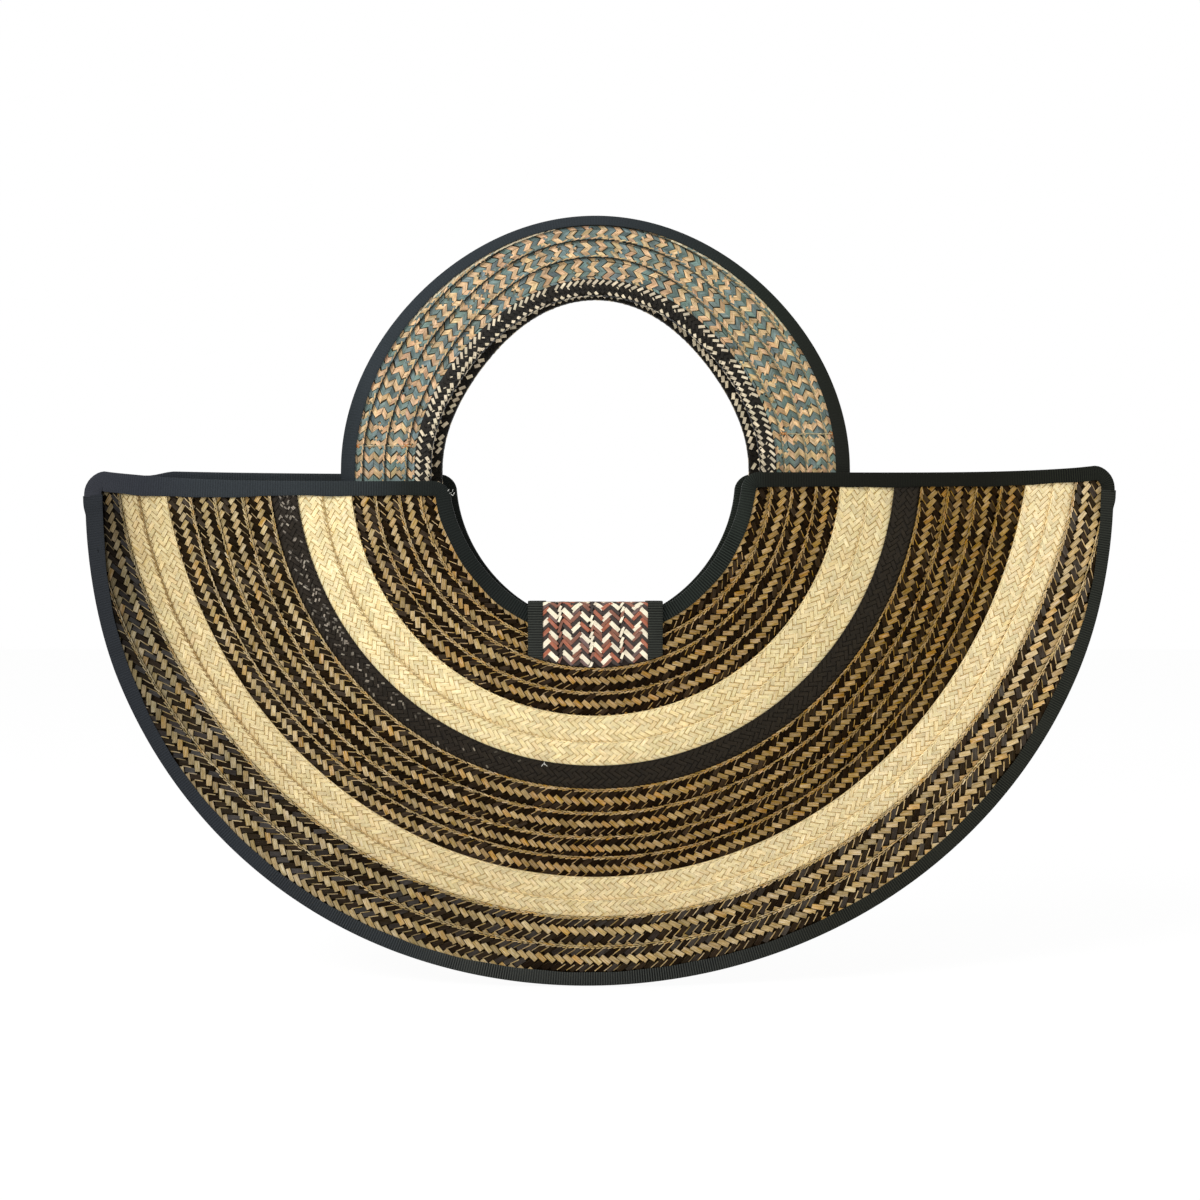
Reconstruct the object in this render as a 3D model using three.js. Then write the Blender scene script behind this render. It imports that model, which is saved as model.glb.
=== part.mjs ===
// Woven half-moon handbag: two bowed half-ring panels of braided straw strips, bound with ribbon,
// two arch handles that tilt outward at the top edge, and a tab that closes the mouth.
// Millimetres, +Z up, the front faces -Y. The origin is the grip: the underside of the handle arch.
import * as THREE from 'three';

// Clearance between pieces that touch
const GAP = 0.3;

// One braid of straw, laid like a shingle: its inner edge lies on its neighbour's outer edge
const BRAID = { thickness: 0.8, lift: 1.4, mostCovered: 2.5, shareCovered: 0.2 };
const LINING = { thickness: 0.7, steps: [0, 0.04, 0.2, 0.4, 0.6, 0.8, 0.94, 1] };
const RIBBON = { thickness: 0.4, width: 6.5, foldThickness: 1.2, foldLength: 9, cornerEnd: 2 };
// Straight pieces that stand for a quarter turn, and for one top edge
const ARC_STEPS = 3;
const EDGE_STEPS = 6;

// The half ring of a panel, in polar sizes about the middle of the mouth
const PANEL = {
  sideSpread: 4.4,
  shoulder: 2.2,
  lopsided: 1.3,
  bow: 22,
  seamHalfGap: 1.1,
  cornerRadius: 10,
  segments: 24,
};
const MOUTH = { radius: 72.2, sag: 3, cornerRadius: 8 };

// Strips from the mouth outwards, with the width that shows at the bottom of the bag
const STRIPS = [
  { kind: 'brown', width: 13.3 },
  { kind: 'brown', width: 10 },
  { kind: 'brown', width: 11.7 },
  { kind: 'brown', width: 11.8 },
  { kind: 'natural', width: 13 },
  { kind: 'natural', width: 11.5 },
  { kind: 'dark', width: 11.5 },
  { kind: 'brown', width: 11.5 },
  { kind: 'brown', width: 12.1 },
  { kind: 'brown', width: 10.1 },
  { kind: 'brown', width: 10.3 },
  { kind: 'natural', width: 11.4 },
  { kind: 'natural', width: 8.6 },
  { kind: 'brown', width: 14.7 },
  { kind: 'brown', width: 20.3 },
];
// The strips drift outwards towards the top edge, the outer ones most
const DRIFT = { most: 31, from: 105, power: 1.7 };

// Height of each panel's top edge at the mouth, and its climb towards the outer corner
const TOP_EDGE = {
  front: { right: { start: -1, climb: 5 }, left: { start: -5.3, climb: 8 } },
  rear: { right: { start: 1.2, climb: 1.5 }, left: { start: 1.2, climb: 1.5 } },
};
const CLIMB_POWER = 6;

// Arch handle, whose seams each have a radius at the foot and one at the top of the arch
const HANDLE = {
  centreHeight: 3,
  segments: 20,
  flattening: 2,
  tailDepth: 10,
  ribbonFoot: 6.5,
  ribbonTop: 4.6,
  edgingThickness: 0.7,
  edgingWidth: 7,
  rearNarrower: 3,
};
const HANDLE_SEAMS = [
  { foot: 81.9, top: 87.2 },
  { foot: 92.4, top: 105.1 },
  { foot: 103.2, top: 114.1 },
  { foot: 114, top: 121.4 },
  { foot: 124.5, top: 126.1 },
];

// Closing tab: sewn in at a seam of the front panel, over the mouth and down the rear panel
const TAB = {
  width: 65.5,
  thickness: 1,
  ribbonWidth: 7.3,
  sewnAtSeam: 2,
  crossing: 2,
  aboveMouth: 9.4,
  rearHem: 1.5,
  foldRadius: 4,
  columns: 8,
};
const SNAP = { radius: 7, thickness: 1.2, sides: 24 };

const LOOKS = {
  brown: { color: 0x8a6a3c, roughness: 0.7 },
  natural: { color: 0xe6d3a0, roughness: 0.7 },
  dark: { color: 0x2a211d, roughness: 0.5 },
  lining: { color: 0xcdbb93, roughness: 0.9 },
  ribbon: { color: 0x23272a, roughness: 0.8 },
  handle: { color: 0x9c9a86, roughness: 0.7 },
  edging: { color: 0x3a3631, roughness: 0.6 },
  tab: { color: 0xa9806b, roughness: 0.7 },
  metal: { color: 0xb9b9b4, roughness: 0.3, metalness: 1 },
};

const { asin, atan2, cos, hypot, max, min, sin, sqrt, PI } = Math;
const BOTTOM = PI / 2;
const OUTWARD = { front: -1, rear: 1 };

// Heights of the layers above the inner face of a panel or handle
const stripBase = LINING.thickness + GAP;
const stripEdge = stripBase + BRAID.thickness;
const stripPeak = stripEdge + BRAID.lift;
const ribbonBase = stripPeak + GAP;
const ribbonFace = ribbonBase + RIBBON.thickness;
const ribbonReach = GAP + RIBBON.thickness;

const looks = Object.fromEntries(
  Object.entries(LOOKS).map(([name, look]) => [name, new THREE.MeshStandardMaterial(look)]),
);

function addPiece(group, name, look, geometry) {
  const mesh = new THREE.Mesh(geometry, looks[look]);
  mesh.name = name;
  group.add(mesh);
}

// A closed solid along a row of stations. railsAt(station) gives the section as two rails of
// [across, height] pairs, and place(station, across, height) sets a pair in space.
function loft(stations, railsAt, place) {
  const rings = stations.map((station) => {
    const { outer, inner } = railsAt(station);
    return [...outer, ...inner.toReversed()].map(([across, height]) => place(station, across, height));
  });
  const size = rings[0].length;
  const faces = [];
  const addQuad = (a, b, c, d) => faces.push([a, b, c], [a, c, d]);
  for (let row = 0; row < rings.length - 1; row += 1) {
    for (let i = 0; i < size; i += 1) {
      const [a, b] = [row * size + i, row * size + ((i + 1) % size)];
      addQuad(a, b, b + size, a + size);
    }
  }
  const last = (rings.length - 1) * size;
  for (let i = 0; i < size / 2 - 1; i += 1) {
    const opposite = size - 1 - i;
    addQuad(opposite, opposite - 1, i + 1, i);
    addQuad(last + i, last + i + 1, last + opposite - 1, last + opposite);
  }
  return closedGeometry(rings.flat(), faces);
}

// Turns the faces outward, whichever way round they were made
function closedGeometry(points, faces) {
  const volume = faces.reduce(
    (sum, [a, b, c]) => sum + points[a].dot(new THREE.Vector3().crossVectors(points[b], points[c])),
    0,
  );
  const geometry = new THREE.BufferGeometry().setFromPoints(points);
  geometry.setIndex(faces.flatMap(([a, b, c]) => (volume > 0 ? [a, b, c] : [a, c, b])));
  geometry.computeVertexNormals();
  return geometry;
}

// A ribbon or braid folded round an edge. Its legs reach `width` in from the edge; the front leg
// has one height at the edge and one at its tip, and the back leg lies behind the inner face.
function foldedBinding({ width, thickness, edgeHeight, tipHeight }) {
  const outside = GAP + thickness;
  return {
    outer: [
      [width, tipHeight + thickness],
      [-outside, edgeHeight + thickness],
      [-outside, -outside],
      [width, -outside],
    ],
    inner: [[width, tipHeight], [-GAP, edgeHeight], [-GAP, -GAP], [width, -GAP]],
  };
}

// A braid strip that is lifted at its inner edge and low at its outer edge
function shingleRails(inner, outer) {
  const low = stripBase;
  const high = stripBase + BRAID.lift;
  return {
    outer: [[inner, high + BRAID.thickness], [outer, low + BRAID.thickness]],
    inner: [[inner, high], [outer, low]],
  };
}

// How much of a strip's outer edge its neighbour covers
function covered(neighbourWidth) {
  return min(BRAID.mostCovered, BRAID.shareCovered * max(0, neighbourWidth));
}

// Height of a strip's outward face at a radius between its edges
function shingleHeight(inner, outer, radius) {
  return stripEdge + (BRAID.lift * (outer - radius)) / (outer - inner);
}

// Panel seams: the angle runs from 0 at the right end through the bottom to half a turn

const seamRadii = STRIPS.reduce((radii, strip) => [...radii, radii.at(-1) + strip.width], [MOUTH.radius]);
const outlineSeam = STRIPS.length;
const drop = seamRadii[outlineSeam];

// The outline hangs a little lower on the left, as sewn by hand
function outlineRadius(angle) {
  const spread = PANEL.sideSpread * cos(angle) ** 2 + PANEL.shoulder * sin(2 * angle) ** 2;
  return drop + spread + PANEL.lopsided * cos(3 * angle);
}
const outlineEnd = { right: outlineRadius(0), left: outlineRadius(PI) };

function seamRadius(seam, angle) {
  if (seam === 0) return MOUTH.radius + MOUTH.sag * sin(angle) ** 4;
  if (seam === outlineSeam) return outlineRadius(angle);
  const outness = max(0, (seamRadii[seam] - DRIFT.from) / (drop - DRIFT.from));
  return seamRadii[seam] + DRIFT.most * outness ** DRIFT.power * (1 - sin(angle)) ** 2;
}

function stripEdges(strip, angle) {
  const seam = min(seamRadius(strip + 1, angle), outlineRadius(angle));
  const nextSeam = seamRadius(min(strip + 2, outlineSeam), angle);
  return [seamRadius(strip, angle), seam + covered(nextSeam - seam)];
}

// Height of the outward face of the strips where a radius crosses them
function surfaceHeight(radius, angle) {
  const strip = STRIPS.findLastIndex((_, i) => i === 0 || seamRadius(i, angle) <= radius);
  return shingleHeight(...stripEdges(strip, angle), radius);
}

// How far a round corner falls below its top edge at a distance in from the corner
function cornerFall(cornerRadius, distance) {
  if (distance >= cornerRadius) return 0;
  return cornerRadius - sqrt(cornerRadius ** 2 - (cornerRadius - distance) ** 2);
}

function topHeight(side, end, across) {
  const { start, climb } = TOP_EDGE[side][end];
  const cornerStart = outlineEnd[end] - PANEL.cornerRadius;
  return start + climb * (min(across, cornerStart) / drop) ** CLIMB_POWER;
}

function endAngle(side, end, radius) {
  const innerFall = cornerFall(MOUTH.cornerRadius, radius - MOUTH.radius);
  const outerFall = cornerFall(PANEL.cornerRadius, max(0, outlineEnd[end] - radius));
  return asin((innerFall + outerFall - topHeight(side, end, radius)) / radius);
}

// A point of the flat panel, as [x, z], at a radius and a share of the way from right to left
function flatPoint(side, radius, share) {
  const right = endAngle(side, 'right', radius);
  const left = endAngle(side, 'left', radius);
  const angle = right + share * (PI - right - left);
  return [radius * cos(angle), -radius * sin(angle)];
}

// The panels bow apart from the outline to the mouth
function bowAt(x, z) {
  const reach = hypot(x, z) / outlineRadius(atan2(-z, x));
  return PANEL.bow * max(0, 1 - reach ** 2);
}

function bend(side, [x, z], height) {
  const depth = PANEL.seamHalfGap + bowAt(x, z) + height;
  return new THREE.Vector3(x, OUTWARD[side] * depth, z);
}

const shares = Array.from({ length: PANEL.segments + 1 }, (_, i) => i / PANEL.segments);
const onPanel = (side) => (share, radius, height) => bend(side, flatPoint(side, radius, share), height);

// The last strip comes out from under the ribbon of the outline, and is left out where that hides it
function braidStrip(side, strip) {
  const shows = (share) => {
    const [inner, outer] = stripEdges(strip, share * PI);
    return outer - inner >= RIBBON.width;
  };
  return loft(
    shares.filter(shows),
    (share) => shingleRails(...stripEdges(strip, share * PI)),
    onPanel(side),
  );
}

function lining(side) {
  const radiiAt = (share) => {
    const mouth = seamRadius(0, share * PI);
    return LINING.steps.map((step) => mouth + step * (outlineRadius(share * PI) - mouth));
  };
  const rails = (share) => ({
    outer: radiiAt(share).map((radius) => [radius, LINING.thickness]),
    inner: radiiAt(share).map((radius) => [radius, 0]),
  });
  return loft(shares, rails, onPanel(side));
}

// Ribbon round the mouth and along both top edges of one panel

// A quarter turn about a centre, from an angle to the next
function quarterTurn([x, z], radius, from) {
  return Array.from({ length: ARC_STEPS + 1 }, (_, i) => {
    const turn = from + ((PI / 2) * i) / ARC_STEPS;
    return [x + radius * cos(turn), z + radius * sin(turn)];
  });
}

function cornerCentres(side, end) {
  const outerX = outlineEnd[end] - PANEL.cornerRadius;
  const innerZ = topHeight(side, end, MOUTH.radius) - MOUTH.cornerRadius;
  return {
    outer: [outerX, topHeight(side, end, outerX) - PANEL.cornerRadius],
    inner: [sqrt(MOUTH.radius ** 2 - innerZ ** 2) + MOUTH.cornerRadius, innerZ],
  };
}

// Outer corner, top edge and inner corner of one end, drawn on the right
function topEdgePath(side, end) {
  const { outer, inner } = cornerCentres(side, end);
  const edge = Array.from({ length: EDGE_STEPS - 1 }, (_, i) => {
    const x = THREE.MathUtils.lerp(outer[0], inner[0], (i + 1) / EDGE_STEPS);
    return [x, topHeight(side, end, x)];
  });
  return [
    [outer[0] + PANEL.cornerRadius, outer[1] - RIBBON.cornerEnd],
    ...quarterTurn(outer, PANEL.cornerRadius, 0),
    ...edge,
    ...quarterTurn(inner, MOUTH.cornerRadius, PI / 2).slice(0, -1),
  ];
}

function mouthRibbonStations(side) {
  const points = [
    ...topEdgePath(side, 'right').map((point) => ({ point })),
    ...shares.map((share) => ({
      point: flatPoint(side, seamRadius(0, share * PI), share),
      angle: share * PI,
    })),
    ...topEdgePath(side, 'left').toReversed().map(([x, z]) => ({ point: [-x, z] })),
  ];
  return points.map((station, i) => {
    const [beforeX, beforeZ] = points[max(0, i - 1)].point;
    const [afterX, afterZ] = points[min(points.length - 1, i + 1)].point;
    const length = hypot(afterX - beforeX, afterZ - beforeZ);
    const inward = [(beforeZ - afterZ) / length, (afterX - beforeX) / length];
    return { ...station, inward };
  });
}

function mouthRibbon(side) {
  const rails = ({ angle }) => {
    const tipHeight = angle === undefined
      ? ribbonBase
      : surfaceHeight(seamRadius(0, angle) + RIBBON.width, angle) + GAP;
    return foldedBinding({
      width: RIBBON.width,
      thickness: RIBBON.thickness,
      edgeHeight: ribbonBase,
      tipHeight,
    });
  };
  const place = ({ point, inward }, inset, height) => {
    const flat = [point[0] + inward[0] * inset, point[1] + inward[1] * inset];
    return bend(side, flat, height);
  };
  return loft(mouthRibbonStations(side), rails, place);
}

// Ribbon over the curved edge, which holds the two panels together. Its ends are folded thick.

function seamRibbonStations() {
  const asShare = (length) => length / (PI * drop);
  const start = asShare(RIBBON.cornerEnd + 2 * GAP);
  const foldEnd = start + asShare(RIBBON.foldLength);
  const thinStart = foldEnd + asShare(RIBBON.foldThickness);
  const folded = [
    { share: start, extra: RIBBON.foldThickness },
    { share: foldEnd, extra: RIBBON.foldThickness },
    { share: thinStart, extra: 0 },
  ];
  const plain = shares
    .filter((share) => share > thinStart && share < 1 - thinStart)
    .map((share) => ({ share, extra: 0 }));
  const mirrored = folded.toReversed().map(({ share, extra }) => ({ share: 1 - share, extra }));
  return [...folded, ...plain, ...mirrored];
}

function seamRibbon() {
  const rails = ({ share, extra }) => {
    const angle = share * PI;
    const lastStripWidth = outlineRadius(angle) - seamRadius(outlineSeam - 1, angle);
    const tipHeight = lastStripWidth < 2 * RIBBON.width
      ? ribbonBase
      : surfaceHeight(outlineRadius(angle) - RIBBON.width, angle) + GAP;
    const tip = PANEL.seamHalfGap + tipHeight;
    const edge = PANEL.seamHalfGap + stripEdge + GAP;
    const thickness = RIBBON.thickness + extra;
    const outside = -GAP - thickness;
    return {
      outer: [
        [RIBBON.width, -tip - thickness],
        [outside, -edge - thickness],
        [outside, edge + thickness],
        [RIBBON.width, tip + thickness],
      ],
      inner: [[RIBBON.width, -tip], [-GAP, -edge], [-GAP, edge], [RIBBON.width, tip]],
    };
  };
  const place = ({ share }, inset, depth) => {
    const side = depth < 0 ? 'front' : 'rear';
    const [x, z] = flatPoint(side, outlineRadius(share * PI), share);
    const scale = 1 - inset / hypot(x, z);
    return bend(side, [x * scale, z * scale], Math.abs(depth) - PANEL.seamHalfGap);
  };
  return loft(seamRibbonStations(), rails, place);
}

// Handles. Each turns about a level axis on its outward face, just above the ribbon of the panel,
// with its tail behind the panel. At rest the two lean together until their tops meet.

const handleFace = ribbonBase + HANDLE.edgingThickness;
const footRadius = HANDLE_SEAMS.at(-1).foot;
const archReach = HANDLE.centreHeight + HANDLE_SEAMS.at(-1).top + ribbonReach;
const highestEdge = max(
  ...['front', 'rear'].flatMap((side) => ['right', 'left'].map((end) => topHeight(side, end, footRadius))),
);
const axisHeight = highestEdge + ribbonReach + GAP;
const tailLength = axisHeight + HANDLE.tailDepth;
// The tip of the handle's ribbon lies against the back of the panel
const panelBack = PANEL.seamHalfGap + bowAt(footRadius - HANDLE.ribbonFoot, -HANDLE.tailDepth) - ribbonReach;
const tailRoom = panelBack - GAP + handleFace - ribbonFace;
const handleBack = handleFace + ribbonReach;
const leanSine = (tailRoom - handleBack - GAP / 2) / (tailLength + archReach - axisHeight);
const axisDepth = tailRoom - tailLength * leanSine;

const handleStations = [
  { angle: 0, tail: true },
  ...Array.from({ length: HANDLE.segments + 1 }, (_, i) => ({ angle: (i * PI) / HANDLE.segments })),
  { angle: PI, tail: true },
];

function handleSeam(side, seam, angle) {
  const { foot, top } = HANDLE_SEAMS[seam];
  const footHere = side === 'rear' ? foot - HANDLE.rearNarrower : foot;
  return footHere + (top - footHere) * sin(angle) ** 4 - HANDLE.flattening * sin(2 * angle) ** 2;
}

function handleStripEdges(side, strip, angle) {
  const seam = handleSeam(side, strip + 1, angle);
  const nextSeam = handleSeam(side, min(strip + 2, HANDLE_SEAMS.length - 1), angle);
  return [handleSeam(side, strip, angle), seam + covered(nextSeam - seam)];
}

const onHandle = (side) => ({ angle, tail }, radius, height) => new THREE.Vector3(
  radius * cos(angle),
  OUTWARD[side] * (height - handleFace),
  (tail ? -HANDLE.tailDepth : HANDLE.centreHeight + radius * sin(angle)) - axisHeight,
);

function handleBacking(side) {
  const rails = ({ angle }) => {
    const inner = handleSeam(side, 0, angle);
    const outer = handleSeam(side, HANDLE_SEAMS.length - 1, angle);
    return {
      outer: [[inner, LINING.thickness], [outer, LINING.thickness]],
      inner: [[inner, 0], [outer, 0]],
    };
  };
  return loft(handleStations, rails, onHandle(side));
}

function handleStrip(side, strip) {
  const rails = ({ angle }) => shingleRails(...handleStripEdges(side, strip, angle));
  return loft(handleStations, rails, onHandle(side));
}

function handleEdging(side) {
  const rails = ({ angle }) => {
    const [inner, outer] = handleStripEdges(side, 0, angle);
    return foldedBinding({
      width: HANDLE.edgingWidth,
      thickness: HANDLE.edgingThickness,
      edgeHeight: ribbonBase,
      tipHeight: shingleHeight(inner, outer, inner + HANDLE.edgingWidth) + GAP,
    });
  };
  const place = (station, inset, height) => {
    const radius = handleSeam(side, 0, station.angle) + inset;
    return onHandle(side)(station, radius, height);
  };
  return loft(handleStations, rails, place);
}

function handleRibbon(side) {
  const rails = ({ angle }) => foldedBinding({
    width: HANDLE.ribbonFoot + (HANDLE.ribbonTop - HANDLE.ribbonFoot) * sin(angle) ** 2,
    thickness: RIBBON.thickness,
    edgeHeight: stripEdge + GAP,
    tipHeight: ribbonBase,
  });
  const place = (station, inset, height) => {
    const radius = handleSeam(side, HANDLE_SEAMS.length - 1, station.angle) - inset;
    return onHandle(side)(station, radius, height);
  };
  return loft(handleStations, rails, place);
}

function makeHandle(side) {
  const handle = new THREE.Group();
  handle.position.set(0, OUTWARD[side] * axisDepth, axisHeight);
  handle.rotation.x = OUTWARD[side] * asin(leanSine);
  addPiece(handle, `${side}_handle_backing`, 'lining', handleBacking(side));
  for (let strip = 0; strip < HANDLE_SEAMS.length - 1; strip += 1) {
    addPiece(handle, `${side}_handle_braid_${strip + 1}`, 'handle', handleStrip(side, strip));
  }
  addPiece(handle, `${side}_handle_edging`, 'edging', handleEdging(side));
  addPiece(handle, `${side}_handle_ribbon`, 'ribbon', handleRibbon(side));
  return handle;
}

// Closing tab: a woven strap with a ribbon folded round each side, in two parts that meet at the
// fold over the mouth. Layers of the strap, counted from its underside:
const tabWovenBase = ribbonReach;
const tabWovenFace = tabWovenBase + TAB.thickness;
const tabStack = tabWovenFace + ribbonReach;
const tabTop = MOUTH.radius - TAB.aboveMouth;
const tabHalf = TAB.width / 2;
const wovenHalf = tabHalf - ribbonReach;

const tabRibbonRails = {
  outer: [[TAB.ribbonWidth, tabStack], [0, tabStack], [0, 0], [TAB.ribbonWidth, 0]],
  inner: [
    [TAB.ribbonWidth, tabStack - RIBBON.thickness],
    [RIBBON.thickness, tabStack - RIBBON.thickness],
    [RIBBON.thickness, RIBBON.thickness],
    [TAB.ribbonWidth, RIBBON.thickness],
  ],
};

// The sewn part rises over the strips and the mouth ribbon to the fold
const sewnRadius = seamRadii[TAB.sewnAtSeam] - GAP;
const crossedSeams = Array.from({ length: TAB.sewnAtSeam - 1 }, (_, i) => TAB.sewnAtSeam - 1 - i);
const tabRows = [
  { radius: sewnRadius, under: surfaceHeight(sewnRadius, BOTTOM) + GAP },
  ...crossedSeams.map((seam) => ({ radius: seamRadii[seam], under: stripPeak + GAP })),
  { radius: seamRadius(0, BOTTOM) + TAB.crossing, under: ribbonFace + GAP },
  { top: true, under: ribbonFace + GAP },
];
const foldDepth = PANEL.seamHalfGap + bowAt(0, -tabTop);
const tabFront = foldDepth + ribbonFace + GAP + tabStack;

function onSewnPart(row, x, height) {
  if (row.top) {
    const depth = foldDepth + row.under + height;
    return new THREE.Vector3(x, OUTWARD.front * depth, -(tabTop + tabStack + GAP));
  }
  return bend('front', [x, -sqrt(row.radius ** 2 - x ** 2)], row.under + height);
}

function sewnWoven() {
  const columns = Array.from({ length: TAB.columns + 1 }, (_, i) => wovenHalf * ((2 * i) / TAB.columns - 1));
  const rail = (height) => tabRows.map((row, i) => [i, height]);
  const rails = () => ({ outer: rail(tabWovenFace), inner: rail(tabWovenBase) });
  return loft(columns, rails, (x, row, height) => onSewnPart(tabRows[row], x, height));
}

function sewnRibbon(direction) {
  const place = (row, inset, height) => onSewnPart(row, direction * (tabHalf - inset), height);
  return loft(tabRows, () => tabRibbonRails, place);
}

// The loose part runs level over the mouth and turns down behind the rear panel
const rearPeak = PANEL.seamHalfGap + bowAt(0, -seamRadii[1]) + stripPeak;
const snapStack = 2 * (SNAP.thickness + GAP);
const snapDrop = seamRadius(0, BOTTOM) + RIBBON.width + GAP + SNAP.radius;
const rearEnd = snapDrop + SNAP.radius + TAB.rearHem;
const rearRibbonFace = PANEL.seamHalfGap + bowAt(0, -MOUTH.radius) + ribbonFace;
const rearWovenFace = max(rearPeak + GAP + snapStack, rearRibbonFace + GAP + tabWovenBase);
const tabRear = rearWovenFace - tabWovenBase + tabStack;

const foldCentre = [tabRear - TAB.foldRadius, -tabTop - TAB.foldRadius];
const flapStations = [
  { at: [-tabFront, -tabTop], outward: [0, 1] },
  ...quarterTurn([0, 0], 1, 0).toReversed().map((outward) => ({
    at: outward.map((way, i) => foldCentre[i] + TAB.foldRadius * way),
    outward,
  })),
  { at: [tabRear, -rearEnd], outward: [1, 0] },
];

function onFlap({ at, outward }, x, height) {
  const inset = tabStack - height;
  return new THREE.Vector3(x, at[0] - outward[0] * inset, at[1] - outward[1] * inset);
}

function flapWoven() {
  const rails = () => ({
    outer: [[-wovenHalf, tabWovenFace], [wovenHalf, tabWovenFace]],
    inner: [[-wovenHalf, tabWovenBase], [wovenHalf, tabWovenBase]],
  });
  return loft(flapStations, rails, onFlap);
}

function flapRibbon(direction) {
  const place = (station, inset, height) => onFlap(station, direction * (tabHalf - inset), height);
  return loft(flapStations, () => tabRibbonRails, place);
}

// A flat magnetic disc, facing the rear, whose inner face is at a depth
function snapDisc(depth) {
  return new THREE.CylinderGeometry(SNAP.radius, SNAP.radius, SNAP.thickness, SNAP.sides)
    .translate(0, depth + SNAP.thickness / 2, -snapDrop);
}

const bag = new THREE.Group();
const gripHeight = HANDLE.centreHeight + HANDLE_SEAMS[0].top - GAP - HANDLE.edgingThickness;
bag.position.z = -gripHeight;

for (const side of ['front', 'rear']) {
  addPiece(bag, `${side}_lining`, 'lining', lining(side));
  STRIPS.forEach(({ kind }, strip) => {
    addPiece(bag, `${side}_braid_${strip + 1}_${kind}`, kind, braidStrip(side, strip));
  });
  addPiece(bag, `${side}_mouth_ribbon`, 'ribbon', mouthRibbon(side));
  bag.add(makeHandle(side));
}
addPiece(bag, 'seam_ribbon', 'ribbon', seamRibbon());

addPiece(bag, 'tab_sewn_part', 'tab', sewnWoven());
addPiece(bag, 'tab_sewn_ribbon_right', 'ribbon', sewnRibbon(1));
addPiece(bag, 'tab_sewn_ribbon_left', 'ribbon', sewnRibbon(-1));
addPiece(bag, 'tab_flap', 'tab', flapWoven());
addPiece(bag, 'tab_flap_ribbon_right', 'ribbon', flapRibbon(1));
addPiece(bag, 'tab_flap_ribbon_left', 'ribbon', flapRibbon(-1));
addPiece(bag, 'panel_snap', 'metal', snapDisc(rearPeak + GAP));
addPiece(bag, 'flap_snap', 'metal', snapDisc(rearWovenFace - GAP - SNAP.thickness));

export default bag;
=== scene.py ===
"""Dresses the woven half-moon handbag: its panels, handles and closing tab are woven straw by straw
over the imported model, and its ribbons and linings are laid on as folded tape and cloth.

Lengths are millimetres in the bag's own frame until a mesh is made: the origin is the middle of the
mouth, +Z is up and the front faces -Y. Along a strip, u runs from the left end to the right one and
v from the strip's inner edge outwards.
"""

import bpy
import numpy as np
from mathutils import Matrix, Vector


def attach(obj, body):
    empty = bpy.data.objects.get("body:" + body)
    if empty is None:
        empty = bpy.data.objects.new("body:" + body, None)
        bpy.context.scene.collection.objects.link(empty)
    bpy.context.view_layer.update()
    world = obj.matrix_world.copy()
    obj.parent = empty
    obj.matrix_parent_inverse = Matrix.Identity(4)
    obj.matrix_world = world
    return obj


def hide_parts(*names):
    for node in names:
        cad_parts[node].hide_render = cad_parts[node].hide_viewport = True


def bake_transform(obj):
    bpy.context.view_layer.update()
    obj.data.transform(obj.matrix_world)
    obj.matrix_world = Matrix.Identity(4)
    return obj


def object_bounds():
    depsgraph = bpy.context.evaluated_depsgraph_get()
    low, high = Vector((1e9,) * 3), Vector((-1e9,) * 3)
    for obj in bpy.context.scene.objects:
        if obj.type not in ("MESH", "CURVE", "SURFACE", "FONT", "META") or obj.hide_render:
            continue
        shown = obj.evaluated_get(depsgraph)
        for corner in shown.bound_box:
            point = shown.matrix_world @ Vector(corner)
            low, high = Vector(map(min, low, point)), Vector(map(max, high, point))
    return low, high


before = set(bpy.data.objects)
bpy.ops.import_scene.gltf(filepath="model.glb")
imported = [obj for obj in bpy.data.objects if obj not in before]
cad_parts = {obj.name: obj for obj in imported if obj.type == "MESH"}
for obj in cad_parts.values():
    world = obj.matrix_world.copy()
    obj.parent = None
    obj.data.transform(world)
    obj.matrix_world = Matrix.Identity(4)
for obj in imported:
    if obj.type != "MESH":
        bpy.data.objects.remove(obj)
cad_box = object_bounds()

# Sizes, most of them shared with the solids

GRIP_HEIGHT = 89.2
GAP = 0.3
STRIP_BOTTOM = 1.0
STRIP_EDGE = 1.8
STRIP_LIFT = 1.4
RIBBON_BASE = 3.5
RIBBON_THICKNESS = 0.4
RIBBON_WIDTH = 6.5
RIBBON_REACH = GAP + RIBBON_THICKNESS
LINING_THICKNESS = 0.7
SEAM_HALF_GAP = 1.1

MOUTH_RADIUS = 72.2
MOUTH_SAG = 3
MOUTH_CORNER = 8.0
OUTER_CORNER = 10.0
BOW = 22.0
STRIPS = [
    ("brown", 13.3), ("brown", 10), ("brown", 11.7), ("brown", 11.8), ("natural", 13),
    ("natural", 11.5), ("dark", 11.5), ("brown", 11.5), ("brown", 12.1), ("brown", 10.1),
    ("brown", 10.3), ("natural", 11.4), ("natural", 8.6), ("brown", 14.7), ("brown", 20.3),
]
SEAMS = MOUTH_RADIUS + np.concatenate([[0], np.cumsum([width for _, width in STRIPS])])
DROP = SEAMS[-1]
# Seams beyond this radius drift outwards, up to so far at the top edge
DRIFT_START = 105
DRIFT = 31
# How far a strip goes under its neighbour at most
LAP = 2.5
TOP_EDGE = {
    "front": {"right": (-1, 5), "left": (-5.3, 8)},
    "rear": {"right": (1.2, 1.5), "left": (1.2, 1.5)},
}
OUTWARD = {"front": -1, "rear": 1}
BODY = {"front": "front_handle", "rear": "rear_handle"}
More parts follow.
